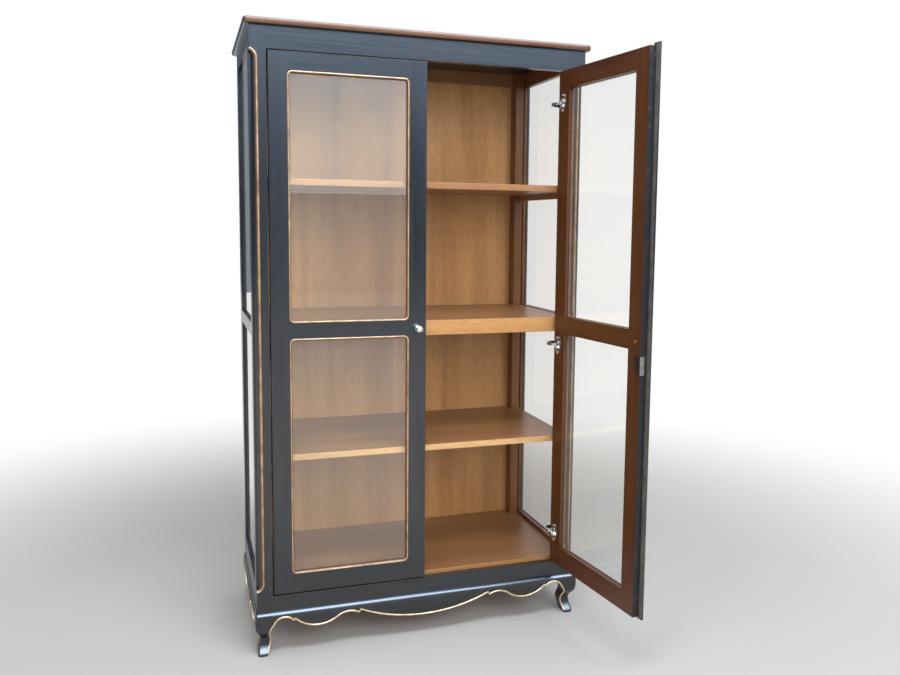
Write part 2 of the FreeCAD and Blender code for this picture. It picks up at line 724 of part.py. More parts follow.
right_front_leg = leg("front_leg", True)
node("right_front_leg", [right_front_leg])
node("left_front_leg", [mirrored("front_leg_twin", right_front_leg)])
right_rear_leg = leg("rear_leg", False)
node("right_rear_leg", [right_rear_leg])
node("left_rear_leg", [mirrored("rear_leg_twin", right_rear_leg)])

# Doors are drawn closed and right-handed: x is 0 at the hinge edge and falls towards the free edge,
# y is 0 on the front face and grows inwards, z is 0 at the bottom edge
door_bottom = opening_low + size.door_gap
door_height = opening_high - size.door_gap - door_bottom
hinge_edge = post_inside - size.door_gap
door_width = hinge_edge - size.meeting_gap / 2
free_edge = -door_width
rail_near = -size.door_stile_width
rail_far = free_edge + size.door_stile_width
lower_low = size.door_bottom_rail_height
lower_high = lower_low + size.door_lower_opening
upper_low = lower_high + size.door_middle_rail_height
upper_high = door_height - size.door_top_rail_height
door_openings = {"lower": (lower_low, lower_high), "upper": (upper_low, upper_high)}
hinge_heights = [
    size.hinge_above_bottom,
    lower_high - size.hinge_below_middle,
    door_height - size.hinge_below_top,
]
whole_thickness = (nothing, size.frame_thickness)
behind_lip = (size.glass_lip, size.frame_thickness)


# Turns and shifts of the open right door and its links
def turned(x, y, degrees):
    turn = math.radians(degrees)
    return x * math.cos(turn) - y * math.sin(turn), x * math.sin(turn) + y * math.cos(turn)


arm_pin = (-size.arm_pin_edge, size.arm_pin_depth)
cup_pin = (-size.cup_pin_edge, size.cup_pin_depth)
link_angle = -link_turn_share * open_angle
pin_swing = turned(cup_pin[0].value - arm_pin[0].value, cup_pin[1].value - arm_pin[1].value, link_angle)
door_origin = Vector(hinge_edge.value, front.value, door_bottom.value)


def turned_place(pivot, target, degrees):
    # The pivot of a piece comes to lie on the target, after the piece has turned
    moved = turned(pivot[0].value, pivot[1].value, degrees)
    shift = Vector(target[0] - moved[0], target[1] - moved[1], 0)
    return Placement(door_origin + shift, Rotation(Vector(0, 0, 1), degrees))


arm_point = (arm_pin[0].value, arm_pin[1].value)
cup_point_open = (arm_point[0] + pin_swing[0], arm_point[1] + pin_swing[1])
open_door = turned_place(cup_pin, cup_point_open, open_angle)
open_links = turned_place(arm_pin, arm_point, link_angle)
right_closed = Placement(door_origin, Rotation())
left_closed = Placement(Vector(-hinge_edge.value, front.value, door_bottom.value), Rotation())


def on_left_door(label, piece):
    node(label, [mirrored(label + "_twin", piece)], left_closed)


def on_right_door(label, piece):
    node(label, [piece], open_door)


def on_both_doors(label, piece):
    on_left_door("left_" + label, piece)
    on_right_door("right_" + label, piece)


def at_hinges(name, piece):
    copies = []
    for number, height in enumerate(hinge_heights, 1):
        copy = group("%s_%d" % (name, number), [piece])
        bind(copy, "Placement.Base.z", height)
        copies.append(copy)
    return group(name, copies)


# Door stiles with seats for the glass
def stile_seats(name, inside, way):
    # way is +1 or -1: from the inner edge of the stile into the stile
    seats = []
    depth = inside + size.glass_rebate * way
    mouth = inside - size.overrun * way
    across = (mouth, depth) if way > 0 else (depth, mouth)
    for place, (low, high) in door_openings.items():
        upright = (low - size.glass_rebate, high + size.glass_rebate)
        through = (size.glass_lip, size.frame_thickness + size.overrun)
        seats.append(box("%s_%s_seat" % (name, place), across, through, upright))
    return seats


cup_middle = -size.cup_centre
cup_floor = size.frame_thickness - size.cup_cavity_depth - size.cup_wall
cup_bores = []
for number, height in enumerate(hinge_heights, 1):
    bore_radius = size.cup_radius + size.cup_fit
    bore_rear = size.frame_thickness + size.overrun
    bore = rod("cup_bore_%d" % number, bore_radius, "y", (cup_middle, height), cup_floor, bore_rear)
    cup_bores.append(bore)
ease = size.door_edge_ease
stile_path = [
    (rail_near, nothing),
    (-ease, nothing),
    (nothing, ease),
    (nothing, size.frame_thickness),
    (rail_near, size.frame_thickness),
]
hinge_stile_blank = prism("hinge_stile_bar", "XY_Plane", stile_path, nothing, door_height)
hinge_stile = cut("hinge_stile_cut", hinge_stile_blank, stile_seats("hinge_stile", rail_near, 1) + cup_bores)
on_both_doors("hinge_stile", hinge_stile)

knob_x = free_edge + size.knob_edge
knob_height = upper_low - size.knob_below_rail
knob_place = (knob_x, knob_height)
screw_bore_radius = size.knob_screw_radius + size.knob_screw_fit
screw_bore_high = size.frame_thickness + size.overrun
screw_bore = rod("knob_bore", screw_bore_radius, "y", knob_place, -size.overrun, screw_bore_high)
free_stile_blank = box("free_stile_bar", (free_edge, rail_far), whole_thickness, (nothing, door_height))
free_stile_cuts = stile_seats("free_stile", rail_far, -1) + [screw_bore]
free_stile = cut("free_stile_cut", free_stile_blank, free_stile_cuts)

lock_height = lower_high - size.lock_below_rail
lock_low = lock_height - size.lock_half_height
lock_high = lock_height + size.lock_half_height
bolt_low = lock_height - size.bolt_half_height
bolt_high = lock_height + size.bolt_half_height
lock_mortise = box(
    "lock_mortise",
    (free_edge - size.overrun, free_edge + size.lock_depth),
    (size.lock_front, size.frame_thickness + size.overrun),
    (lock_low, lock_high),
)
on_right_door("right_free_stile", cut("lock_stile", free_stile, [lock_mortise]))
strike_recess = box(
    "strike_recess",
    (free_edge - size.overrun, free_edge + size.lock_forend),
    (size.strike_front, size.strike_rear),
    (lock_low, lock_high),
)
bolt_across = (size.bolt_front - size.bolt_play, size.bolt_rear + size.bolt_play)
bolt_upright = (bolt_low - size.bolt_play, bolt_high + size.bolt_play)
strike_hole = box(
    "strike_hole",
    (free_edge - size.overrun, free_edge + size.strike_pocket),
    bolt_across,
    bolt_upright,
)
on_left_door("left_free_stile", cut("strike_stile", free_stile, [strike_recess, strike_hole]))
strike_plate = box(
    "strike_sheet",
    (free_edge, free_edge + size.lock_forend),
    (size.strike_front, size.strike_rear),
    (lock_low, lock_high),
)
on_left_door("left_lock_strike", cut("strike_shape", strike_plate, [strike_hole]))


# Door rails: the lip in front of the glass carries the round corners of the openings
def door_rail(name, low, high, bends_down, bends_up):
    radius = size.opening_radius
    bend = radius * (1 - math.sqrt(0.5))
    path = []
    if bends_up:
        path.append((rail_near, high + radius))
        path.append((rail_near - bend, high + bend, rail_near - radius, high))
        path.append((rail_far + radius, high))
        path.append((rail_far + bend, high + bend, rail_far, high + radius))
    else:
        path.append((rail_near, high))
        path.append((rail_far, high))
    if bends_down:
        path.append((rail_far, low - radius))
        path.append((rail_far + bend, low - bend, rail_far + radius, low))
        path.append((rail_near - radius, low))
        path.append((rail_near - bend, low - bend, rail_near, low - radius))
    else:
        path.append((rail_far, low))
        path.append((rail_near, low))
    lip = prism(name + "_lip", "XZ_Plane", path, nothing, size.glass_lip)
    back_low = low + size.glass_rebate if bends_down else low
    back_high = high - size.glass_rebate if bends_up else high
    back = box(name + "_back", (rail_far, rail_near), behind_lip, (back_low, back_high))
    on_both_doors(name, join(name + "_whole", [lip, back]))


door_rail("bottom_rail", nothing, lower_low, False, True)
door_rail("middle_rail", lower_high, upper_low, True, True)
door_rail("top_rail", upper_high, door_height, True, False)

# Door panes and the beads behind them
bead_span = (glass_rear, size.frame_thickness)
seat_near = rail_near + size.glass_rebate
seat_far = rail_far - size.glass_rebate
door_beads = []
for place, (low, high) in door_openings.items():
    pane_x = (rail_far - seat_play, rail_near + seat_play)
    pane_y = (size.glass_lip, glass_rear)
    on_both_doors(place + "_glass", box(place + "_pane", pane_x, pane_y, (low - seat_play, high + seat_play)))
    whole = (low - size.glass_rebate, high + size.glass_rebate)
    name = place + "_door_bead"
    door_beads.append(box(name + "_near", (rail_near, seat_near), bead_span, whole))
    door_beads.append(box(name + "_far", (seat_far, rail_far), bead_span, whole))
    door_beads.append(box(name + "_low", (rail_far, rail_near), bead_span, (whole[0], low)))
    door_beads.append(box(name + "_high", (rail_far, rail_near), bead_span, (high, whole[1])))
on_both_doors("glass_beads", group("door_beads", door_beads))

# Hinge cups with flange, ears and pin, drawn about the middle of one hinge
inside_face = size.frame_thickness
flange_rear = inside_face + size.flange_thickness
flange_half = size.flange_length / 2 - size.flange_radius
flange_x = (cup_middle - size.flange_radius, cup_middle + size.flange_radius)
cup_solid = join("cup_solid", [
    rod("cup_outside", size.cup_radius, "y", (cup_middle, nothing), cup_floor, inside_face),
    box("flange_middle", flange_x, (inside_face, flange_rear), (-flange_half, flange_half)),
    rod("flange_high", size.flange_radius, "y", (cup_middle, flange_half), inside_face, flange_rear),
    rod("flange_low", size.flange_radius, "y", (cup_middle, -flange_half), inside_face, flange_rear),
    rod("flange_rim", size.cup_radius, "y", (cup_middle, nothing), inside_face, flange_rear),
])
cavity_radius = size.cup_radius - size.cup_wall
cavity = rod("cup_cavity", cavity_radius, "y", (cup_middle, nothing), cup_floor + size.cup_wall, bore_rear)
ear_x = (cup_pin[0] - size.ear_reach, cup_pin[0] + size.ear_heel)
ear_y = (cup_pin[1] - size.ear_front, cup_pin[1] + size.ear_rear)
fork_inside = size.link_half_height + size.link_play
notch_x = (cup_middle + size.flange_radius, size.overrun)
notch_y = (inside_face, bore_rear)
rim_notch = box("rim_notch", notch_x, notch_y, (-size.pin_half_length, size.pin_half_length))
cup = join("cup", [
    cut("cup_shell", cup_solid, [cavity, rim_notch]),
    box("ear_high", ear_x, ear_y, (fork_inside, size.pin_half_length)),
    box("ear_low", ear_x, ear_y, (-size.pin_half_length, -fork_inside)),
    rod("cup_pin", size.cup_pin_radius, "z", cup_pin, -size.pin_half_length, size.pin_half_length),
])
on_both_doors("hinge_cups", at_hinges("cups", cup))

# Hinge links: a hook that reaches round the edge of the cup to the arm pin
hook_far = (-size.hook_floor_far, size.hook_floor)
run_x = hook_far[0].value - arm_pin[0].value
run_y = hook_far[1].value - arm_pin[1].value
run = math.hypot(run_x, run_y)
along_share = (run_x / run, run_y / run)
eye = size.link_arm_eye
eye_upper = (arm_pin[0] - eye * along_share[1], arm_pin[1] + eye * along_share[0])
eye_end = (arm_pin[0] - eye * along_share[0], arm_pin[1] - eye * along_share[1])
eye_lower = (arm_pin[0] + eye * along_share[1], arm_pin[1] - eye * along_share[0])
hook_near = cup_pin[0] + size.link_cup_eye
hook_corner = size.hook_bend * (1 - math.sqrt(0.5))
link_path = [
    (hook_near, cup_pin[1]),
    (cup_pin[0], cup_pin[1] + size.link_cup_eye, cup_pin[0] - size.link_cup_eye, cup_pin[1]),
    (cup_pin[0] - size.link_cup_eye - size.hook_heel, size.hook_throat + size.hook_heel),
    (-size.hook_throat_near, size.hook_throat),
    (-size.hook_throat_far, size.hook_throat),
    eye_upper,
    eye_end + eye_lower,
    hook_far,
    (hook_near - size.hook_bend, size.hook_floor),
    (hook_near - hook_corner, size.hook_floor + hook_corner, hook_near, size.hook_floor + size.hook_bend),
]
link_bar = prism("link_bar", "XY_Plane", link_path, -size.link_half_height, size.link_half_height)
link_ends = (-size.pin_half_length, size.pin_half_length)
link = cut("link", link_bar, [
    rod("link_cup_hole", size.cup_pin_radius + size.pin_play, "z", cup_pin, link_ends[0], link_ends[1]),
    rod("link_arm_hole", size.arm_pin_radius + size.pin_play, "z", arm_pin, link_ends[0], link_ends[1]),
])
links = at_hinges("links", link)
node("right_hinge_links", [links], open_links)
node("left_hinge_links", [mirrored("links_twin", links)], left_closed)

# Hinge arms: a forked nose round the arm pin, a cranked bar and a plate on the front post
plate_face = size.door_gap - size.plate_thickness
nose = size.arm_nose * math.sqrt(0.5)
arm_path = [
    (plate_face, size.arm_front),
    (plate_face, size.arm_rear),
    (-size.arm_elbow, size.arm_rear),
    (arm_pin[0] - nose, arm_pin[1] + nose),
    (arm_pin[0] - nose, arm_pin[1] - nose, arm_pin[0] + nose, arm_pin[1] - nose),
    (-size.arm_elbow, size.arm_front),
]
arm_bar = prism("arm_bar", "XY_Plane", arm_path, -size.pin_half_length, size.pin_half_length)
arm_slot_x = (arm_pin[0] - size.arm_slot, arm_pin[0] + size.arm_slot)
arm_slot_y = (arm_pin[1] - size.arm_slot, arm_pin[1] + size.arm_slot)
arm_slot = box("arm_slot_tool", arm_slot_x, arm_slot_y, (-fork_inside, fork_inside))
plate_x = (plate_face, size.door_gap)
plate_z = (-size.plate_half_height, size.plate_half_height)
arm = join("arm", [
    cut("arm_fork", arm_bar, [arm_slot]),
    rod("arm_pin", size.arm_pin_radius, "z", arm_pin, -size.pin_half_length, size.pin_half_length),
    box("arm_plate", plate_x, (size.plate_front, size.plate_rear), plate_z),
])
arms = at_hinges("arms", arm)
right_arms = group("right_arms", [arms])
right_arms.Placement = right_closed
node("hinge_arms", [right_arms, mirrored("left_arms", right_arms)])

# Knobs with the screw that holds them from the inside
ball_start = chord_rise(size.knob_radius, size.knob_neck_radius)
knob_path = [
    (nothing, nothing),
    (size.knob_foot_radius, nothing),
    (size.knob_foot_radius, -size.knob_foot_height),
    (size.knob_neck_radius, -size.knob_neck_start),
    (size.knob_neck_radius, ball_start - size.knob_reach),
    (size.knob_radius, -size.knob_reach, nothing, -size.knob_reach - size.knob_radius),
]
knob_body = doc.addObject("PartDesign::Body", "knob_body")
knob_drawing = draw(knob_body, "knob_outline", "XY_Plane", nothing, knob_path)
knob_turn = knob_body.newObject("PartDesign::Revolution", "knob_turn")
knob_turn.Profile = knob_drawing
knob_turn.ReferenceAxis = (knob_drawing, ["V_Axis"])
knob_turn.Angle = 360
put(knob_body, knob_x, nothing, knob_height)
head_rear = inside_face + size.knob_screw_head_height
knob_screw = join("knob_screw", [
    rod("knob_shank", size.knob_screw_radius, "y", knob_place, nothing, inside_face),
    rod("knob_screw_head", size.knob_screw_head_radius, "y", knob_place, inside_face, head_rear),
])
on_both_doors("knob", group("knob_and_screw", [knob_body, knob_screw]))

# Meeting strip on the right door, relieved where it passes in front of the left door and the rails
strip_far = free_edge - size.strip_overlap
strip_near = free_edge + size.strip_seat
strip_face = -size.strip_thickness
strip_bend = size.strip_round * (1 - math.sqrt(0.5))
strip_path = [
    (strip_near, nothing),
    (strip_near, strip_face + size.strip_round),
    (strip_near - strip_bend, strip_face + strip_bend, strip_near - size.strip_round, strip_face),
    (strip_far + size.strip_round, strip_face),
    (strip_far + strip_bend, strip_face + strip_bend, strip_far, strip_face + size.strip_round),
    (strip_far, -size.strip_relief),
    (free_edge, -size.strip_relief),
    (free_edge, nothing),
]
strip_bar = prism("strip_bar", "XY_Plane", strip_path, -size.strip_below, door_height + size.strip_above)
relief_x = (free_edge - size.overrun, strip_near + size.overrun)
relief_y = (-size.strip_relief, size.overrun)
strip = cut("strip_shape", strip_bar, [
    box("strip_relief_low", relief_x, relief_y, (-size.strip_below - size.overrun, nothing)),
    box("strip_relief_high", relief_x, relief_y, (door_height, door_height + size.strip_above + size.overrun)),
])
on_right_door("right_meeting_strip", strip)

# Lock let into the right door, with its edge plate, back plate, sliding bolt and key plate
lock_rear = inside_face + size.lock_proud
lock_across = (free_edge, free_edge + size.lock_depth)
lock_case = box("lock_block", lock_across, (size.lock_front, lock_rear), (lock_low, lock_high))
bolt_end = free_edge + size.bolt_length
bolt_way = box("bolt_way", (free_edge - size.overrun, bolt_end + size.bolt_play), bolt_across, bolt_upright)
on_right_door("right_lock_case", cut("lock_shape", lock_case, [bolt_way]))
bolt_y = (size.bolt_front, size.bolt_rear)
on_right_door("right_lock_bolt", box("bolt", (free_edge, bolt_end), bolt_y, (bolt_low, bolt_high)))
key_x = free_edge + size.key_edge
key_half = size.key_plate_half_height - size.key_plate_radius
key_y = (-size.key_plate_thickness, nothing)
key_sides = (key_x - size.key_plate_radius, key_x + size.key_plate_radius)
key_low = lock_height - key_half
key_high = lock_height + key_half
key_sheet = join("key_sheet", [
    box("key_middle", key_sides, key_y, (key_low, key_high)),
    rod("key_low", size.key_plate_radius, "y", (key_x, key_low), key_y[0], nothing),
    rod("key_high", size.key_plate_radius, "y", (key_x, key_high), key_y[0], nothing),
])
slot_x = (key_x - size.key_slot_width / 2, key_x + size.key_slot_width / 2)
slot_y = (key_y[0] - size.overrun, size.overrun)
key_plate = cut("key_plate", key_sheet, [
    rod("key_hole", size.key_hole_radius, "y", (key_x, lock_height), slot_y[0], slot_y[1]),
    box("key_slot", slot_x, slot_y, (lock_height - size.key_slot_length, lock_height)),
])
on_right_door("right_key_plate", key_plate)

# Every object is checked before anything is written
doc.recompute()
problems = []
for thing in doc.Objects:
    if "Invalid" in thing.State or "Error" in thing.State:
        problems.append("%s: %s" % (thing.Name, thing.State))
    if hasattr(thing, "Shape") and thing.TypeId not in ("App::Plane", "App::Line", "App::Point"):
        if thing.Shape.isNull() or not thing.Shape.isValid():
            problems.append("%s: no valid shape" % thing.Name)
for whole in nodes:
    if not whole.Shape.Solids:
        problems.append("%s: no solid" % whole.Label)
if problems:
    raise RuntimeError("; ".join(problems))

os.makedirs("parts", exist_ok=True)
for whole in nodes:
    whole.Shape.exportStep("parts/%s.step" % whole.Label)
print(len(nodes), "nodes written")
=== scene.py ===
import json
import math
import bmesh
import bpy
from mathutils import Matrix, Vector
from mathutils.bvhtree import BVHTree
from mathutils.geometry import interpolate_bezier


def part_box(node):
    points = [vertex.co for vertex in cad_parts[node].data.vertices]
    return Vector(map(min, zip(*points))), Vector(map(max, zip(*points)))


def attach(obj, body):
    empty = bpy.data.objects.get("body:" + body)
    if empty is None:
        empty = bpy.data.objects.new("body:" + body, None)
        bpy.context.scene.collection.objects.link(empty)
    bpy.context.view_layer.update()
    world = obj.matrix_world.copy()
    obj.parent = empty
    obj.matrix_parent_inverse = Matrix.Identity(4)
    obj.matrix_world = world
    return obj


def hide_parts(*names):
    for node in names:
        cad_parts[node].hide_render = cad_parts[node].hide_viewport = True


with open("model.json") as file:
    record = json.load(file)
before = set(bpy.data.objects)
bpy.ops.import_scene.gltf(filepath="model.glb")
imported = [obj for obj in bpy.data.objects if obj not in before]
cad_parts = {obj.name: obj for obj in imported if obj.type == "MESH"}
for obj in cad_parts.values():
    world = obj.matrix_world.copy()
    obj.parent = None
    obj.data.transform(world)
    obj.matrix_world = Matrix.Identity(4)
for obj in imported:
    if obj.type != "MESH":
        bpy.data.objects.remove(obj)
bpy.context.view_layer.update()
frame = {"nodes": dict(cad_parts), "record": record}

scene = bpy.context.scene
scene.view_settings.view_transform = "Standard"
cadNodes = frame["nodes"]
bodyOf = {n: b for b, members in frame["record"]["behaviour"]["bodies"].items() for n in members}
print("frame loaded:", len(cadNodes), "nodes")


# nodes that the finishes are made of
def newFinish(name, **sockets):
    finish = bpy.data.materials.new(name)
    finish.use_nodes = True
    shader = finish.node_tree.nodes["Principled BSDF"]
    for socket, value in sockets.items():
        shader.inputs[socket.replace("_", " ")].default_value = value
    return finish, finish.node_tree, shader


def addNode(tree, kind, inputs=None, **settings):
    node = tree.nodes.new("ShaderNode" + kind)
    for key, value in settings.items():
        setattr(node, key, value)
    for key, value in (inputs or {}).items():
        if isinstance(value, bpy.types.NodeSocket):
            tree.links.new(value, node.inputs[key])
        else:
            node.inputs[key].default_value = value
    return node


def ramp(tree, source, stops):
    node = addNode(tree, "ValToRGB", {"Fac": source})
    bar = node.color_ramp.elements
    while len(bar) < len(stops):
        bar.new(0.5)
    for element, (place, colour) in zip(bar, stops):
        element.position = place
        element.color = (*colour, 1)
    return node.outputs["Color"]


def spread(tree, source, low, high):
    return addNode(tree, "MapRange", {"Value": source, "To Min": low, "To Max": high}).outputs["Result"]


def smoothRise(tree, source, low, high):
    settings = {"Value": source, "From Min": low, "From Max": high}
    return addNode(tree, "MapRange", settings, interpolation_type="SMOOTHSTEP").outputs["Result"]


def maths(tree, operation, *values):
    return addNode(tree, "Math", dict(enumerate(values)), operation=operation).outputs[0]


def multiplied(tree, first, second):
    node = addNode(tree, "Mix", data_type="RGBA", blend_type="MULTIPLY")
    node.inputs["Factor"].default_value = 1.0
    colours = [s for s in node.inputs if s.type == "RGBA"]
    tree.links.new(first, colours[0])
    tree.links.new(second, colours[1])
    return [s for s in node.outputs if s.type == "RGBA"][0]


def patches(tree, **sockets):
    # cloudy noise that lies still on the piece
    place = addNode(tree, "TexCoord").outputs["Object"]
    return addNode(tree, "TexNoise", {"Vector": place, **sockets}).outputs["Fac"]


def grainNoise(tree, along, turn, stretch, shift, **sockets):
    # noise drawn out along the grain; stretch is its length along and across
    place = addNode(tree, "TexCoord").outputs["Object"]
    scale = [stretch[1]] * 3
    scale["xyz".index(along)] = stretch[0]
    settings = {"Vector": place, "Location": (shift, shift, shift), "Rotation": (0, 0, turn), "Scale": scale}
    grain = addNode(tree, "Mapping", settings, vector_type="TEXTURE").outputs["Vector"]
    return addNode(tree, "TexNoise", {"Vector": grain, "Scale": 1.0, **sockets}).outputs["Fac"]


def addBump(tree, shader, height, strength, depth):
    bump = addNode(tree, "Bump", {"Strength": strength, "Distance": depth, "Height": height})
    tree.links.new(bump.outputs["Normal"], shader.inputs["Normal"])


# black satin paint; the open grain shows through as fine furrows
paint = dict(
    dark=(0.0036, 0.0044, 0.0060), light=(0.0165, 0.0195, 0.0255), pore=(0.5, 0.5, 0.5),
    broad=(0.9, 0.10), pores=(0.07, 0.0014), streak=(0.40, 0.011),
    rough=(0.13, 0.34), sheen=0.9, bump=0.3, bumpDepth=0.0007,
)


def paintedWood(name, along, turn=0.0, shift=0.0):
    finish, tree, shader = newFinish(name, IOR=1.5, Specular_IOR_Level=paint["sheen"])
    broad = grainNoise(tree, along, turn, paint["broad"], shift, Detail=4.0)
    pores = grainNoise(tree, along, turn, paint["pores"], shift, Detail=3.0, Roughness=0.6)
    streak = grainNoise(tree, along, turn, paint["streak"], shift, Detail=5.0, Roughness=0.6, Distortion=0.4)
    colour = ramp(tree, streak, [(0.34, paint["dark"]), (0.72, paint["light"])])
    furrow = ramp(tree, pores, [(0.34, paint["pore"]), (0.50, (1, 1, 1))])
    tree.links.new(multiplied(tree, colour, furrow), shader.inputs["Base Color"])
    tree.links.new(spread(tree, broad, *paint["rough"]), shader.inputs["Roughness"])
    addBump(tree, shader, streak, paint["bump"], paint["bumpDepth"])
    return finish


# paint worn thin along an edge, with the brown ground coming through in places
rubbed = dict(paint=(0.009, 0.010, 0.012), bare=(0.045, 0.028, 0.019), scale=34.0, rough=(0.18, 0.45))


def rubbedEdge(name, ground=1.0, **sockets):
    finish, tree, shader = newFinish(name, IOR=1.5, **sockets)
    wear = patches(tree, Scale=rubbed["scale"], Detail=6.0, Roughness=0.7)
    stops = [(0.56, rubbed["paint"]), (0.74, rubbed["bare"])]
    colour = ramp(tree, wear, [(place, [c * ground for c in tone]) for place, tone in stops])
    tree.links.new(colour, shader.inputs["Base Color"])
    tree.links.new(spread(tree, wear, *rubbed["rough"]), shader.inputs["Roughness"])
    return finish


# brown stain under clear lacquer: broad figure, fine darker pores, soft clouds
wood = dict(
    dark=(0.31, 0.147, 0.055), mid=(0.43, 0.217, 0.0875), light=(0.52, 0.2825, 0.1225),
    figure=1.3, pores=(0.045, 0.0010), clouds=(0.7, 0.28),
    poreTint=(0.66, 0.60, 0.54), cloudTint=(0.78, 0.74, 0.72),
    rough=(0.26, 0.42), bump=0.10, bumpDepth=0.0004,
)


def stainedWood(name, along, turn=0.0, shift=0.0, tint=(1, 1, 1), band=0.085):
    finish, tree, shader = newFinish(name, IOR=1.48)
    stretch = (wood["figure"], band)
    figure = grainNoise(tree, along, turn, stretch, shift, Detail=6.0, Roughness=0.55, Distortion=0.3)
    pores = grainNoise(tree, along, turn, wood["pores"], shift, Detail=3.0)
    clouds = grainNoise(tree, along, turn, wood["clouds"], shift, Detail=2.0)
    stops = [(0.28, wood["dark"]), (0.52, wood["mid"]), (0.76, wood["light"])]
    stain = ramp(tree, figure, [(place, [c * t for c, t in zip(tone, tint)]) for place, tone in stops])
    streak = ramp(tree, pores, [(0.30, wood["poreTint"]), (0.52, (1, 1, 1))])
    cloud = ramp(tree, clouds, [(0.32, wood["cloudTint"]), (0.66, (1, 1, 1))])
    colour = multiplied(tree, multiplied(tree, stain, streak), cloud)
    tree.links.new(colour, shader.inputs["Base Color"])
    tree.links.new(spread(tree, figure, *wood["rough"]), shader.inputs["Roughness"])
    addBump(tree, shader, pores, wood["bump"], wood["bumpDepth"])
    return finish


# paint laid on by brush: patchy, darker where it is thin
brushed = dict(scale=22.0, rough=(0.46, 0.26))


def brushedPaint(name, low, high, metallic):
    finish, tree, shader = newFinish(name, Metallic=metallic, IOR=1.5)
    brush = patches(tree, Scale=brushed["scale"], Detail=7.0, Roughness=0.75)
    tree.links.new(ramp(tree, brush, [(0.36, low), (0.62, high)]), shader.inputs["Base Color"])
    tree.links.new(spread(tree, brush, *brushed["rough"]), shader.inputs["Roughness"])
    return finish


def brightMetal(name, low, high, rough, scale=140.0):
    finish, tree, shader = newFinish(name, Metallic=1.0)
    cloud = patches(tree, Scale=scale, Detail=5.0)
    tree.links.new(ramp(tree, cloud, [(0.35, low), (0.65, high)]), shader.inputs["Base Color"])
    tree.links.new(spread(tree, cloud, *rough), shader.inputs["Roughness"])
    return finish


# float glass with a little dust on it; lamps shine through
pane = dict(clear=0.97, low=(0.955, 0.985, 0.970), high=(0.975, 0.990, 0.982), shade=(0.93, 0.96, 0.94, 1), scale=5.0)


def windowGlass(name):
    finish, tree, shader = newFinish(name, IOR=1.5, Transmission_Weight=pane["clear"], Roughness=0.0)
    haze = patches(tree, Scale=pane["scale"], Detail=4.0)
    tree.links.new(ramp(tree, haze, [(0.3, pane["low"]), (0.7, pane["high"])]), shader.inputs["Base Color"])
    clear = addNode(tree, "BsdfTransparent", {"Color": pane["shade"]})
    shadow = addNode(tree, "LightPath").outputs["Is Shadow Ray"]
    both = addNode(tree, "MixShader", {"Fac": shadow, 1: shader.outputs["BSDF"], 2: clear.outputs["BSDF"]})
    tree.links.new(both.outputs["Shader"], tree.nodes["Material Output"].inputs["Surface"])
    return finish


# where the right door stands open; its grain turns with it
openTurn = math.radians(96.5)
openPlace = Matrix.Translation((0.462326, -0.251113, 0.192)) @ Matrix.Rotation(openTurn, 4, "Z")
sideTint = (0.62, 0.54, 0.54)
# the door insides, their glass beads and the backs of the frieze and bottom rail use a darker copy of the brown wood:
# painted shade on faces that turn away from the light
doorWoodPaintedShade = dict(tint=(0.31, 0.20, 0.135), band=0.03)
blackUp = paintedWood("blackPaintUpright", "z")
blackAcross = paintedWood("blackPaintAcross", "x", shift=0.31)
blackDeep = paintedWood("blackPaintSides", "y", shift=0.57)
blackOpen = paintedWood("blackPaintOpenDoorRails", "x", openTurn)
blackEdge = rubbedEdge("blackPaintEdges")
blackJoint = rubbedEdge("blackPaintHingeEdges", Specular_IOR_Level=0.0)
blackFree = rubbedEdge("blackPaintFreeEdges", 2.0, Specular_IOR_Level=0.22)
brownAcross = stainedWood("brownWoodAcross", "x", shift=0.23, tint=(0.90, 0.88, 0.94))
brownDeep = stainedWood("brownWoodSides", "y", shift=0.41)
sideBrownUp = stainedWood("sideInsideUpright", "z", shift=0.29, tint=sideTint)
sideBrownDeep = stainedWood("sideInsideRails", "y", shift=0.47, tint=sideTint)
brownPanel = stainedWood("brownWoodPanel", "z", shift=0.77, tint=(1.90, 2.05, 2.10))
# lighter copies of the brown wood for the shelf and rail fronts: painted light where light falls on them, weaker on
# the upper shelf, which lies in shade under the top
shelfFrontPaintedLight = stainedWood("brownWoodShelfFrontsPaintedLight", "x", shift=0.13, tint=(1.90, 2.25, 2.45))
upperFrontPaintedLight = stainedWood("brownWoodUpperFrontPaintedLight", "x", shift=0.53, tint=(1.25, 1.30, 1.45))
railFrontPaintedLight = stainedWood("brownWoodRailFrontsPaintedLight", "x", shift=0.33, tint=(1.75, 1.85, 1.75))
topBrown = stainedWood("brownWoodTop", "x", shift=0.37, tint=(0.42, 0.355, 0.385))
doorBrownShadedUp = stainedWood("doorInsideUprightPaintedShade", "z", shift=0.19, **doorWoodPaintedShade)
doorBrownShadedAcross = stainedWood("doorInsideAcrossPaintedShade", "x", shift=0.63, **doorWoodPaintedShade)
doorBrownShadedOpen = stainedWood("openDoorInsideRailsPaintedShade", "x", openTurn, shift=0.63, **doorWoodPaintedShade)
greyBack = brushedPaint("meetingStripBack", (0.10, 0.088, 0.074), (0.21, 0.185, 0.155), 0.0)
gold = brushedPaint("goldPaint", (0.34, 0.19, 0.09), (0.74, 0.53, 0.30), 0.30)
paleGold = brushedPaint("paleGoldPaint", (0.48, 0.30, 0.14), (0.88, 0.69, 0.42), 0.30)
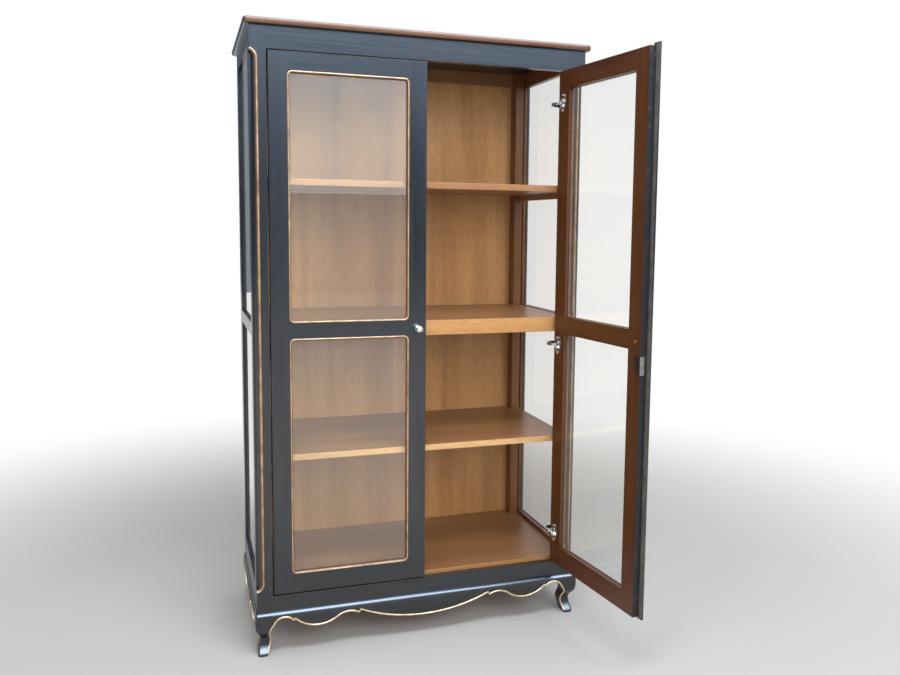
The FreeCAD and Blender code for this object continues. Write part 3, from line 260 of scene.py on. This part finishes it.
# dark bronze beside the gold beads and on the moulding's step wall: partly brown ground, partly painted shade
bronzeAndShade = brushedPaint("bronzePaintAndShade", (0.115, 0.055, 0.026), (0.27, 0.135, 0.064), 0.20)
nickel = brightMetal("nickelPlate", (0.56, 0.54, 0.50), (0.78, 0.76, 0.72), (0.16, 0.30))
polished = brightMetal("polishedKnobMetal", (0.74, 0.72, 0.64), (0.92, 0.91, 0.85), (0.07, 0.16))
agedBrass = brightMetal("agedBrass", (0.34, 0.23, 0.11), (0.66, 0.48, 0.26), (0.22, 0.40))
steel = brightMetal("lockEdgeSteel", (0.26, 0.26, 0.265), (0.38, 0.38, 0.39), (0.25, 0.36), 420.0)
darkMetal = brightMetal("darkLockMetal", (0.060, 0.066, 0.078), (0.105, 0.112, 0.128), (0.30, 0.42), 420.0)
glass = windowGlass("windowGlass")
print("finishes made")

# camera where the photograph was taken; focal and middle are in pixels of the picture
picture = dict(width=900, height=675, sensor=36.0)
view = dict(
    place=(-0.7225, -2.8403, 1.3195), yaw=0.3322, pitch=-0.1025, roll=0.0116,
    focal=860.94, middle=(477.22, 313.95),
)
camera = bpy.data.objects.new("camera", bpy.data.cameras.new("camera"))
scene.collection.objects.link(camera)
flat = math.cos(view["pitch"])
ahead = Vector((math.sin(view["yaw"]) * flat, math.cos(view["yaw"]) * flat, math.sin(view["pitch"])))
right = Vector((math.cos(view["yaw"]), -math.sin(view["yaw"]), 0))
up = right.cross(ahead)
turnedRight = right * math.cos(view["roll"]) + up * math.sin(view["roll"])
turnedUp = up * math.cos(view["roll"]) - right * math.sin(view["roll"])
facing = Matrix((turnedRight, turnedUp, -ahead)).transposed().to_4x4()
camera.matrix_world = Matrix.Translation(view["place"]) @ facing
camera.data.sensor_width = picture["sensor"]
camera.data.lens = view["focal"] / picture["width"] * picture["sensor"]
camera.data.shift_x = (picture["width"] / 2 - view["middle"][0]) / picture["width"]
camera.data.shift_y = (view["middle"][1] - picture["height"] / 2) / picture["width"]
camera.data.clip_end = 100.0
scene.camera = camera


def lookedAt(tree):
    # rays on which the background shows, before any soft bounce: straight or through glass, and off a mirror
    path = addNode(tree, "LightPath").outputs
    fresh = maths(tree, "LESS_THAN", path["Diffuse Depth"], 0.5)
    seen = maths(tree, "MAXIMUM", path["Is Camera Ray"], path["Is Transmission Ray"])
    mirrored = maths(tree, "MAXIMUM", maths(tree, "SUBTRACT", path["Is Glossy Ray"], seen), 0.0)
    return maths(tree, "MULTIPLY", seen, fresh), maths(tree, "MULTIPLY", mirrored, fresh)


# pale floor that fades to white away from the bookcase
floorPlan = dict(reach=14.0, colour=(0.72, 0.72, 0.72), speckle=0.985, fade=(1.1, 3.4), mirrorFade=(0.9, 1.9))
shape = bmesh.new()
bmesh.ops.create_grid(shape, x_segments=1, y_segments=1, size=floorPlan["reach"])
floorMesh = bpy.data.meshes.new("floor")
shape.to_mesh(floorMesh)
shape.free()
floor = bpy.data.objects.new("floor", floorMesh)
scene.collection.objects.link(floor)
floorFinish, tree, shader = newFinish("paleFloor", Roughness=0.9, Specular_IOR_Level=0.0)
speckle = patches(tree, Scale=3.0, Detail=3.0)
dull = [c * floorPlan["speckle"] for c in floorPlan["colour"]]
tree.links.new(ramp(tree, speckle, [(0.3, dull), (0.7, floorPlan["colour"])]), shader.inputs["Base Color"])
place = addNode(tree, "TexCoord").outputs["Object"]
away = addNode(tree, "VectorMath", {0: place}, operation="LENGTH").outputs["Value"]
fade = smoothRise(tree, away, *floorPlan["fade"])
nearFade = smoothRise(tree, away, *floorPlan["mirrorFade"])
seen, mirrored = lookedAt(tree)
blank = maths(tree, "MULTIPLY_ADD", fade, seen, maths(tree, "MULTIPLY", nearFade, mirrored))
white = addNode(tree, "Emission", {"Color": (1, 1, 1, 1), "Strength": 1.0})
both = addNode(tree, "MixShader", {"Fac": blank, 1: shader.outputs["BSDF"], 2: white.outputs["Emission"]})
tree.links.new(both.outputs["Shader"], tree.nodes["Material Output"].inputs["Surface"])
floorMesh.materials.append(floorFinish)

# studio: white where it is seen, a soft bright screen high in front where it is mirrored
studio = dict(diffuse=0.54, low=0.20, screen=2.6, rise=(0.06, 0.30), front=(0.15, 0.75), tint=(0.72, 0.92, 1.18))
glow = dict(strength=12.0, way=(0.0, -0.36, 0.933), reach=(0.62, 0.93))
world = bpy.data.worlds.new("studio")
scene.world = world
world.use_nodes = True
tree = world.node_tree
aim = addNode(tree, "TexCoord").outputs["Generated"]
way = addNode(tree, "SeparateXYZ", {"Vector": aim}).outputs
toFront = smoothRise(tree, maths(tree, "MULTIPLY", way["Y"], -1.0), *studio["front"])
screen = maths(tree, "MULTIPLY", smoothRise(tree, way["Z"], *studio["rise"]), toFront)
screen = maths(tree, "MULTIPLY_ADD", screen, studio["screen"], studio["low"])
overhead = addNode(tree, "VectorMath", {0: aim, 1: glow["way"]}, operation="DOT_PRODUCT").outputs["Value"]
bright = maths(tree, "MULTIPLY_ADD", smoothRise(tree, overhead, *glow["reach"]), glow["strength"], screen)
seen, mirrored = lookedAt(tree)
level = addNode(tree, "Mix", {"Factor": mirrored, "A": studio["diffuse"], "B": bright}).outputs["Result"]
level = addNode(tree, "Mix", {"Factor": seen, "A": level, "B": 1.0}).outputs["Result"]
tint = ramp(tree, mirrored, [(0.0, (1, 1, 1)), (1.0, studio["tint"])])
tree.links.new(tint, tree.nodes["Background"].inputs["Color"])
tree.links.new(level, tree.nodes["Background"].inputs["Strength"])

# soft lamps, kept out of mirrors
lamps = dict(
    keyLamp=dict(
        place=(0.6, -4.2, 2.5), target=(0.05, 0, 1.0), size=(3.0, 2.0), power=75, colour=(1.0, 0.99, 0.97)),
    overheadLamp=dict(
        place=(0.0, -1.75, 3.05), target=(0, -0.25, 0.7), size=(2.6, 0.6), power=42, colour=(0.95, 0.98, 1.0)),
)
for name, plan in lamps.items():
    data = bpy.data.lights.new(name, "AREA")
    data.shape = "RECTANGLE"
    data.size, data.size_y = plan["size"]
    data.energy = plan["power"]
    data.color = plan["colour"]
    lamp = bpy.data.objects.new(name, data)
    scene.collection.objects.link(lamp)
    lamp.location = plan["place"]
    lamp.rotation_euler = (Vector(plan["target"]) - Vector(plan["place"])).to_track_quat("-Z", "Y").to_euler()
    lamp.visible_glossy = False
print("camera, floor and lamps set")

# the solids, to find where pieces touch
trees = {}
for name, node in cadNodes.items():
    mesh = node.data
    trees[name] = BVHTree.FromPolygons([v.co for v in mesh.vertices], [p.vertices[:] for p in mesh.polygons])
boxes = {name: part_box(name) for name in cadNodes}
# small lengths, and turns between faces in radians; facing is how squarely a face looks one way
fit = dict(touch=1e-4, hair=1e-5, weld=2e-6, snap=1e-6, flat=0.004, sharp=0.6, facing=0.9)


def touches(point, names, reach):
    for name in names:
        low, high = boxes[name]
        if all(low[i] - 2 * reach < point[i] < high[i] + 2 * reach for i in range(3)):
            if trees[name].find_nearest(point, reach)[0] is not None:
                return True
    return False


def splitAt(shape, axis, place, faces=None):
    across = Vector((0, 0, 0))
    across["xyz".index(axis)] = 1
    faces = shape.faces[:] if faces is None else faces
    edges = list({e: None for f in faces for e in f.edges})
    verts = list({v: None for f in faces for v in f.verts})
    geom = verts + edges + faces
    bmesh.ops.bisect_plane(shape, geom=geom, plane_co=across * place, plane_no=across, dist=fit["snap"])


def tidied(shape, cuts=(), rule=None):
    # split where the finish changes, give each face its finish, then join what is flat
    bmesh.ops.remove_doubles(shape, verts=shape.verts, dist=fit["weld"])
    if cuts:
        bmesh.ops.triangulate(shape, faces=shape.faces)
    for axis, place in cuts:
        splitAt(shape, axis, place)
    if rule:
        for face in shape.faces:
            face.material_index = rule(face.calc_center_median(), face.normal, face.material_index)
    bmesh.ops.dissolve_limit(
        shape, angle_limit=fit["flat"], verts=shape.verts, edges=shape.edges, delimit={"MATERIAL"})
    return shape


def merged(name, cuts=(), rule=None):
    shape = bmesh.new()
    shape.from_mesh(cadNodes[name].data)
    for face in shape.faces:
        face.material_index = 0
    return tidied(shape, cuts, rule)


def isCorner(edge, sharp=fit["sharp"]):
    return len(edge.link_faces) == 2 and edge.calc_face_angle() > sharp


def roundOver(shape, edges, width, index=None):
    # ease edges; index is the finish of the eased part
    edges = [e for e in edges if e.is_valid]
    made = bmesh.ops.bevel(
        shape, geom=edges, offset=width, segments=2, profile=0.5, affect="EDGES", material=-1, clamp_overlap=True)
    if index is not None:
        for face in made["faces"]:
            face.material_index = index
    bmesh.ops.dissolve_degenerate(shape, dist=fit["snap"], edges=shape.edges)


def showPiece(shape, name, finishes, body, replaced=(), sharp=fit["sharp"]):
    for face in shape.faces:
        face.smooth = True
    for edge in shape.edges:
        edge.smooth = not isCorner(edge, sharp)
    mesh = bpy.data.meshes.new(name)
    shape.to_mesh(mesh)
    shape.free()
    piece = bpy.data.objects.new(name, mesh)
    scene.collection.objects.link(piece)
    for finish in finishes:
        mesh.materials.append(finish)
    weights = piece.modifiers.new("evenNormals", "WEIGHTED_NORMAL")
    weights.keep_sharp = True
    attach(piece, body)
    if replaced:
        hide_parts(*replaced)


def freeEdges(shape, names, reach=fit["touch"]):
    # corners that no other piece of the same body lies against
    body = bodyOf[names[0]]
    others = [n for n in cadNodes if n not in names and bodyOf[n] == body and "glass" not in n]
    sharp = [e for e in shape.edges if isCorner(e)]
    return [e for e in sharp if not touches((e.verts[0].co + e.verts[1].co) / 2, others, reach)]


def softBoard(name, finishes, ease, cuts=(), rule=None, edge=None, reach=fit["touch"]):
    # a board with its free edges eased; rule picks the finish of each face, edge that of the eased edges
    shape = merged(name, cuts, rule)
    roundOver(shape, freeEdges(shape, [name], reach), ease, edge)
    showPiece(shape, name + "_dressed", finishes, bodyOf[name], [name])


def finishNode(name, finish):
    node = cadNodes[name]
    node.data.materials.clear()
    node.data.materials.append(finish)


def turnShape(shape, matrix):
    bmesh.ops.transform(shape, matrix=matrix, verts=shape.verts)
    if matrix.determinant() < 0:
        bmesh.ops.reverse_faces(shape, faces=shape.faces)


def united(names, place, cuts, rule):
    # the parts of a frame as one closed skin; each part's index, 0 or 1, reaches rule
    blocks = []
    for number, (name, index) in enumerate(names):
        shape = merged(name)
        turnShape(shape, place.inverted())
        for vert in shape.verts:
            vert.co = [round(c, 6) for c in vert.co]
        for face in shape.faces:
            face.material_index = index
        mesh = bpy.data.meshes.new("block")
        shape.to_mesh(mesh)
        shape.free()
        for empty in range(2):
            mesh.materials.append(None)
        block = bpy.data.objects.new("block%d" % number, mesh)
        scene.collection.objects.link(block)
        blocks.append(block)
    for block in blocks[1:]:
        union = blocks[0].modifiers.new("union", "BOOLEAN")
        union.operation = "UNION"
        union.solver = "EXACT"
        union.object = block
    skin = bpy.data.meshes.new_from_object(blocks[0].evaluated_get(bpy.context.evaluated_depsgraph_get()))
    for block in blocks:
        bpy.data.objects.remove(block)
    shape = bmesh.new()
    shape.from_mesh(skin)
    return tidied(shape, cuts, rule)


def addTube(shape, points, radius, closed, index):
    # a round bead along points
    curve = bpy.data.curves.new("bead", "CURVE")
    curve.dimensions = "3D"
    spline = curve.splines.new("POLY")
    spline.points.add(len(points) - 1)
    for knot, point in zip(spline.points, points):
        knot.co = (*point, 1)
    spline.use_cyclic_u = closed
    curve.bevel_depth = radius
    curve.bevel_resolution = 3
    curve.use_fill_caps = not closed
    holder = bpy.data.objects.new("bead", curve)
    mesh = bpy.data.meshes.new_from_object(holder)
    bpy.data.objects.remove(holder)
    first = len(shape.faces)
    shape.from_mesh(mesh)
    shape.faces.ensure_lookup_table()
    for face in shape.faces[first:]:
        face.material_index = index
    bmesh.ops.remove_doubles(shape, verts=shape.verts, dist=fit["snap"])


def beadLayers(plan):
    # a bronze fillet with a gold bead on it: radius, depth behind the face, finish; the bronze ring is partly brown
    # ground beside the gold, partly painted shade along the bead's flanks
    return (plan["bronzeAndShade"], plan["bronzeAndShadeDepth"], 1), (plan["gold"], plan["goldDepth"], 0)


# top board: brown on top and in front, black at the ends and below
topPlan = dict(ease=0.0008, end=0.75, below=-0.6)


def topRule(middle, normal, index):
    return 1 if abs(normal.x) > topPlan["end"] or normal.z < topPlan["below"] else 0


softBoard("top_board", [topBrown, blackDeep], topPlan["ease"], rule=topRule)

# shelves: the front edge is painted paler than the rest, a painted highlight of the light falling on the fronts
shelfPlan = dict(ease=0.0015, front=-0.2, fronts=dict(lower_shelf=shelfFrontPaintedLight, upper_shelf=upperFrontPaintedLight))


def shelfRule(middle, normal, index):
    return 1 if normal.y < -fit["facing"] and middle.y < shelfPlan["front"] else 0


for name in ["bottom_board", "lower_shelf", "middle_shelf", "upper_shelf", "middle_shelf_rail"]:
    front = shelfPlan["fronts"].get(name, railFrontPaintedLight)
    softBoard(name, [brownAcross, front], shelfPlan["ease"], rule=shelfRule)
finishNode("back_rails", brownAcross)
finishNode("back_panel", brownPanel)
finishNode("shelf_cleats", brownDeep)

# sides: black outside the panes, brown inside
sidePlan = dict(pane=0.517, ease=0.001)
sideCuts = [("x", sidePlan["pane"]), ("x", -sidePlan["pane"])]


def sideRule(middle, normal, index):
    return 1 if abs(middle.x) < sidePlan["pane"] and normal.y < fit["facing"] else 0


softBoard("back_apron", [blackAcross, blackEdge], sidePlan["ease"], edge=1)
for side in ("left", "right"):
    for height in ("bottom", "middle", "top"):
        name = "%s_side_%s_rail" % (side, height)
        softBoard(name, [blackDeep, sideBrownDeep], sidePlan["ease"], sideCuts, sideRule)
    softBoard(side + "_rear_post", [blackUp, sideBrownUp], sidePlan["ease"], sideCuts, sideRule)
finishNode("side_glass_beads", sideBrownDeep)
print("boards and sides dressed")

# front of the carcass: posts, frieze and bottom rail as one painted frame
frontPlan = dict(face=-0.26, doorDepth=-0.238, inside=0.4795, step=0.506, stepSlack=1e-3, ease=0.0007)
frontFinish = dict(post=0, rail=1, inside=2, railBack=3, eased=4, step=5)


def frontRule(middle, normal, index):
    if index == frontFinish["rail"]:
        return frontFinish["railBack"] if normal.y > fit["facing"] else index
    inward = -normal.x if middle.x > 0 else normal.x
    # the step wall beside the gold bead gets the bronze paint, partly painted shade of the recess
    if inward < -fit["facing"] and abs(abs(middle.x) - frontPlan["step"]) < frontPlan["stepSlack"]:
        return frontFinish["step"]
    if normal.y > fit["facing"] and abs(middle.x) < sidePlan["pane"]:
        return frontFinish["inside"]
    behindDoor = abs(middle.x) < frontPlan["inside"] and middle.y > frontPlan["doorDepth"]
    return frontFinish["inside"] if inward > fit["facing"] and behindDoor else frontFinish["post"]


frontNames = [(side + "_front_post", frontFinish["post"]) for side in ("left", "right")]
frontNames += [("front_" + part, frontFinish["rail"]) for part in ("frieze", "bottom_rail")]
frontNodes = [name for name, index in frontNames]
shape = united(frontNames, Matrix.Identity(4), sideCuts + [("y", frontPlan["doorDepth"])], frontRule)
inFront = [
    e for e in freeEdges(shape, frontNodes)
    if all(abs(v.co.y - frontPlan["face"]) < fit["hair"] for v in e.verts)
]
roundOver(shape, inFront, frontPlan["ease"], frontFinish["eased"])
finishes = [blackUp, blackAcross, sideBrownUp, doorBrownShadedAcross, blackEdge, bronzeAndShade]
showPiece(shape, "carcass_front", finishes, "carcass", frontNodes)

# bead along the front edge of the corner moulding and round its two stops
postBead = dict(
    edge=0.5065, corner=0.5262, low=0.206, high=1.813, stop=0.026, reach=0.011, lift=0.0015, steps=9,
    gold=0.0023, goldDepth=0.0002, bronzeAndShade=0.0058, bronzeAndShadeDepth=0.0042,
)
low = postBead["low"]
knots = [
    (postBead["corner"], low),
    (postBead["corner"] - postBead["reach"], low + postBead["lift"]),
    (postBead["edge"], low + postBead["stop"] / 2),
    (postBead["edge"], low + postBead["stop"]),
]
hook = interpolate_bezier(*[Vector(knot) for knot in knots], postBead["steps"])
shape = bmesh.new()
for way in (-1, 1):
    for radius, depth, index in beadLayers(postBead):
        y = frontPlan["face"] + depth
        line = [(way * p.x, y, p.y) for p in hook]
        line += [(way * p.x, y, low + postBead["high"] - p.y) for p in reversed(hook)]
        addTube(shape, line, radius, False, index)
showPiece(shape, "post_beading", [gold, bronzeAndShade], "carcass")
print("front of the carcass dressed")

# doors: one frame each, drawn closed with x from the hinge edge towards the middle
doorPlan = dict(width=0.4745, height=1.62, low=0.192, thickness=0.022, slack=5e-4, lip=0.008, wall=0.3, ease=0.0006)
doorFinish = dict(stile=0, rail=1, wall=2, inside=3, eased=5, hingeEdge=6, freeEdge=7)
doorPlace = dict(
    left=Matrix.Translation((-0.476, -0.26, doorPlan["low"])) @ Matrix.Scale(-1, 4, (1, 0, 0)),
    right=openPlace,
)
doorRails = dict(left=(blackAcross, doorBrownShadedAcross), right=(blackOpen, doorBrownShadedOpen))
openings = dict(x=(-0.4145, -0.060), lower=(0.064, 0.780), upper=(0.837, 1.562), radius=0.010)
rimBead = dict(out=0.0026, steps=7, gold=0.0021, goldDepth=0.0003, bronzeAndShade=0.0042, bronzeAndShadeDepth=0.0028)


def onRim(point):
    across = min(abs(point.x), abs(point.x + doorPlan["width"]))
    return min(across, abs(point.z), abs(point.z - doorPlan["height"])) < fit["hair"]


def doorRule(middle, normal, index):
    if normal.y > fit["facing"] and middle.y > doorPlan["thickness"] - doorPlan["slack"]:
        return doorFinish["inside"] + index
    if abs(middle.x) < fit["hair"]:
        return doorFinish["hingeEdge"]
    if abs(middle.x + doorPlan["width"]) < fit["hair"]:
        return doorFinish["freeEdge"]
    if abs(normal.y) < doorPlan["wall"] and not onRim(middle):
        return doorFinish["wall"]
    return index


def outerEdge(edge):
    return (
        isCorner(edge)
        and all(onRim(v.co) for v in edge.verts)
        and any(abs(f.normal.y) > fit["facing"] for f in edge.link_faces)
    )


def roundedLoop(low, high, radius, depth):
    # a rectangle with round corners in the plane of the door
    loop = []
    for atRight, atTop, start in ((True, True, 0), (False, True, 90), (False, False, 180), (True, False, 270)):
        across = high[0] - radius if atRight else low[0] + radius
        upright = high[1] - radius if atTop else low[1] + radius
        middle = Vector((across, upright))
        for step in range(rimBead["steps"]):
            turn = math.radians(start + 90 * step / (rimBead["steps"] - 1))
            loop.append((middle.x + radius * math.cos(turn), depth, middle.y + radius * math.sin(turn)))
    return loop


for side in ("left", "right"):
    place = doorPlace[side]
    body = side + "_door"
    outside, inside = doorRails[side]
    finishes = [blackUp, outside, doorBrownShadedUp, doorBrownShadedUp, inside, blackEdge, blackJoint, blackFree]
    names = [("%s_%s_stile" % (side, edge), doorFinish["stile"]) for edge in ("hinge", "free")]
    names += [("%s_%s_rail" % (side, height), doorFinish["rail"]) for height in ("bottom", "middle", "top")]
    shape = united(names, place, [("y", doorPlan["lip"])], doorRule)
    roundOver(shape, [e for e in shape.edges if outerEdge(e)], doorPlan["ease"], doorFinish["eased"])
    turnShape(shape, place)
    showPiece(shape, side + "_door_frame", finishes, body, [n for n, index in names])
    shape = bmesh.new()
    out = rimBead["out"]
    for opening in ("lower", "upper"):
        low = (openings["x"][0] - out, openings[opening][0] - out)
        high = (openings["x"][1] + out, openings[opening][1] + out)
        for radius, depth, index in beadLayers(rimBead):
            addTube(shape, roundedLoop(low, high, openings["radius"] + out, depth), radius, True, index)
    turnShape(shape, place)
    bmesh.ops.recalc_face_normals(shape, faces=shape.faces)
    showPiece(shape, side + "_door_beading", [gold, bronzeAndShade], body)
    finishNode(side + "_glass_beads", doorBrownShadedUp)

# meeting strip on the right door, bare grey on the side that faces in
stripPlan = dict(ease=0.001, back=openTurn + math.pi / 2)


def stripRule(middle, normal, index):
    inward = normal.x * math.cos(stripPlan["back"]) + normal.y * math.sin(stripPlan["back"])
    return 1 if inward > fit["facing"] else 0


softBoard("right_meeting_strip", [blackUp, greyBack], stripPlan["ease"], rule=stripRule)
print("doors dressed")

# stand: aprons and curved legs; seam is how near a piece lies for an edge to stay sharp
apronPlan = dict(ease=0.0008, seam=0.0012, tongue=0.008, ring=0.0005, top=0.1399, drop=0.0002)
frontApron = dict(finish=blackAcross, along=0, out=1, end=0.4807, sink=0.0007)
sideApron = dict(finish=blackDeep, along=1, out=0, end=0.2157, sink=0.0034)


def apron(name, finish, along, out, end, sink):
    # the ends run on into the legs as tongues, set back and down a little to stay under the leg's faces
    shape = merged(name)
    ring = end - apronPlan["ring"]
    for way in (-1, 1):
        top = [f for f in shape.faces if f.calc_center_median().z > apronPlan["top"]]
        splitAt(shape, "xyz"[along], way * ring, top)
    edges = freeEdges(shape, [name], apronPlan["seam"])
    for vert in shape.verts:
        reach = abs(vert.co[along])
        if reach > ring - fit["hair"]:
            vert.co[out] -= math.copysign(sink, vert.co[out])
        if reach > end:
            vert.co[along] += math.copysign(apronPlan["tongue"], vert.co[along])
            if vert.co.z > apronPlan["top"]:
                vert.co.z -= apronPlan["drop"]
    roundOver(shape, edges, apronPlan["ease"])
    showPiece(shape, name + "_dressed", [finish], "carcass", [name])


apron("front_apron", **frontApron)
for side in ("left", "right"):
    apron(side + "_apron", **sideApron)
for side in ("left", "right"):
    for end in ("front", "rear"):
        softBoard("%s_%s_leg" % (side, end), [blackUp], apronPlan["ease"], reach=apronPlan["seam"])

# gold bead along the lower edges of the aprons and down the legs
standBead = dict(radius=0.0028, top=0.134, legTop=0.0965, legLow=0.006, under=0.05, face=0.3, end=0.98)


def lowerEdge(name, across):
    # the corner between the face of an apron and its scalloped lower edge, in order
    along = 1 - across
    shape = merged(name)
    found = set()
    for edge in shape.edges:
        if not isCorner(edge) or max(v.co.z for v in edge.verts) > standBead["top"]:
            continue
        under, face = sorted(edge.link_faces, key=lambda f: abs(f.normal[across]))
        isLower = abs(under.normal[across]) < standBead["under"] and abs(under.normal[along]) < standBead["end"]
        isOuter = face.normal[across] * edge.verts[0].co[across] > 0
        if isLower and isOuter and abs(face.normal[across]) > standBead["face"]:
            found.update(v.co.to_tuple(6) for v in edge.verts)
    shape.free()
    return sorted(found, key=lambda p: p[along])


def legEdge(name, score):
    # the arris of a leg that score picks, from the foot up
    rows = {}
    shape = merged(name)
    for vert in shape.verts:
        if standBead["legLow"] < vert.co.z < standBead["legTop"]:
            rows.setdefault(round(vert.co.z, 4), []).append(vert.co.to_tuple(6))
    shape.free()
    return [max(rows[z], key=score) for z in sorted(rows)]


shape = bmesh.new()
innerFront = [legEdge(side + "_front_leg", lambda p: -abs(p[0]) - p[1]) for side in ("left", "right")]
line = innerFront[0] + lowerEdge("front_apron", frontApron["out"]) + innerFront[1][::-1]
addTube(shape, line, standBead["radius"], False, 0)
for side in ("left", "right"):
    fore = legEdge(side + "_front_leg", lambda p: abs(p[0]) + p[1])
    aft = legEdge(side + "_rear_leg", lambda p: abs(p[0]) - p[1])
    line = fore + lowerEdge(side + "_apron", sideApron["out"]) + aft[::-1]
    addTube(shape, line, standBead["radius"], False, 0)
showPiece(shape, "stand_beading", [paleGold], "carcass")
print("stand dressed")

# knobs turned on a lathe, with the screw that holds them from inside; foot and screw in radius and depth
knobPlan = dict(
    place=(-0.4485, 0, 0.805), reach=0.020, ball=0.012, neck=0.0046, turns=48, arc=14, screwFrom=0.001, sharp=0.9,
    foot=[(0.0045, -0.0050), (0.0052, -0.0032), (0.0080, -0.0022), (0.0090, -0.0013), (0.0090, 0.0)],
    screw=[(0.0020, 0.0), (0.0020, 0.022), (0.0045, 0.022), (0.0045, 0.0228), (0.0030, 0.0234), (0.0, 0.0236)],
)


def lathe(profile, middle, turns):
    # profile in radius and y, spun about an axis along y through middle
    shape = bmesh.new()
    verts = [shape.verts.new((middle.x + radius, y, middle.z)) for radius, y in profile]
    edges = [shape.edges.new(pair) for pair in zip(verts, verts[1:])]
    bmesh.ops.spin(
        shape, geom=verts + edges, cent=middle, axis=(0, 1, 0), angle=2 * math.pi, steps=turns, use_merge=True)
    bmesh.ops.remove_doubles(shape, verts=shape.verts, dist=fit["snap"])
    bmesh.ops.recalc_face_normals(shape, faces=shape.faces)
    return shape


ballRadius = knobPlan["ball"]
start = math.asin(knobPlan["neck"] / ballRadius)
ball = []
for step in range(knobPlan["arc"] + 1):
    turn = math.pi - (math.pi - start) * step / knobPlan["arc"]
    ball.append((ballRadius * math.sin(turn), -knobPlan["reach"] + ballRadius * math.cos(turn)))
knobProfile = [(0.0, ball[0][1])] + ball[1:] + knobPlan["foot"] + knobPlan["screw"]
for side in ("left", "right"):
    shape = lathe(knobProfile, Vector(knobPlan["place"]), knobPlan["turns"])
    for face in shape.faces:
        face.material_index = 1 if face.calc_center_median().y > knobPlan["screwFrom"] else 0
    turnShape(shape, doorPlace[side])
    bmesh.ops.recalc_face_normals(shape, faces=shape.faces)
    finishes = [polished, agedBrass]
    showPiece(
        shape, side + "_knob_turned", finishes, side + "_door", [side + "_knob"], knobPlan["sharp"])
print("knobs turned")

# hinges: pressed steel with eased edges; heights from the bottom of the door
hingePlan = dict(ease=0.0003, heights=(0.105, 0.7395, 1.5195))
for name in ["hinge_arms", "left_hinge_links", "right_hinge_links", "left_hinge_cups", "right_hinge_cups"]:
    softBoard(name, [nickel], hingePlan["ease"])

# slotted screws in the hinge flanges and plates, each slot turned its own way
screwPlan = dict(radius=0.0034, crown=0.72, height=0.0011, slot=0.0009, depth=0.0006, sides=20, sharp=0.4)
screwTurn = dict(first=0.5, hinge=0.9, end=0.6)
flangePlan = dict(x=-0.0225, face=0.0232, apart=0.0245)
platePlan = dict(face=0.475, y=-0.2165, apart=0.0165)


def screwHead(place):
    # a low round head seen along z, cut by a slot
    radius = screwPlan["radius"]
    halfSlot = screwPlan["slot"] / 2
    shape = bmesh.new()
    bmesh.ops.create_cone(
        shape, cap_ends=True, segments=screwPlan["sides"], radius1=radius, radius2=radius * screwPlan["crown"],
        depth=screwPlan["height"])
    bmesh.ops.translate(shape, verts=shape.verts, vec=(0, 0, screwPlan["height"] / 2))
    for way in (-1, 1):
        splitAt(shape, "x", way * halfSlot)
    top = [f for f in shape.faces if f.normal.z > fit["facing"]]
    slot = [f for f in top if abs(f.calc_center_median().x) < halfSlot]
    sunk = bmesh.ops.extrude_face_region(shape, geom=slot)
    low = [g for g in sunk["geom"] if isinstance(g, bmesh.types.BMVert)]
    bmesh.ops.translate(shape, verts=low, vec=(0, 0, -screwPlan["depth"]))
    bmesh.ops.delete(shape, geom=slot, context="FACES")
    turnShape(shape, place)
    return shape


def addScrews(name, places, body):
    shape = bmesh.new()
    for place in places:
        part = screwHead(place)
        mesh = bpy.data.meshes.new("screw")
        part.to_mesh(mesh)
        part.free()
        shape.from_mesh(mesh)
    bmesh.ops.recalc_face_normals(shape, faces=shape.faces)
    showPiece(shape, name, [nickel], body, sharp=screwPlan["sharp"])


facingIn = Matrix.Rotation(-math.pi / 2, 4, "X")
for side, way in (("left", -1), ("right", 1)):
    flanges = []
    plates = []
    for number, height in enumerate(hingePlan["heights"]):
        for end in (-1, 1):
            turn = screwTurn["first"] + screwTurn["hinge"] * number + screwTurn["end"] * end
            skew = Matrix.Rotation(turn, 4, "Z")
            flange = Vector((flangePlan["x"], flangePlan["face"], height + end * flangePlan["apart"]))
            flanges.append(doorPlace[side] @ Matrix.Translation(flange) @ facingIn @ skew)
            upright = doorPlan["low"] + height + end * platePlan["apart"]
            plate = Vector((way * platePlan["face"], platePlan["y"], upright))
            plates.append(Matrix.Translation(plate) @ Matrix.Rotation(-way * math.pi / 2, 4, "Y") @ skew)
    addScrews(side + "_flange_screws", flanges, side + "_door")
    addScrews(side + "_plate_screws", plates, "carcass")
print("hinges dressed")

# lock: dark case, steel edge plate
lockPlan = dict(ease=0.0004, plateEase=0.0003, edgePlate=0.0015)
edgeLine = fit["touch"] - doorPlan["width"] + lockPlan["edgePlate"]


def lockRule(middle, normal, index):
    return 1 if (openPlace.inverted() @ middle).x < edgeLine else 0


softBoard("right_lock_case", [darkMetal, steel], lockPlan["ease"], rule=lockRule)
softBoard("right_lock_bolt", [agedBrass], lockPlan["ease"])
softBoard("left_lock_strike", [nickel], lockPlan["plateEase"])
softBoard("right_key_plate", [agedBrass], lockPlan["plateEase"])
for name in cadNodes:
    if name.endswith("_glass"):
        finishNode(name, glass)
print("pieces made")
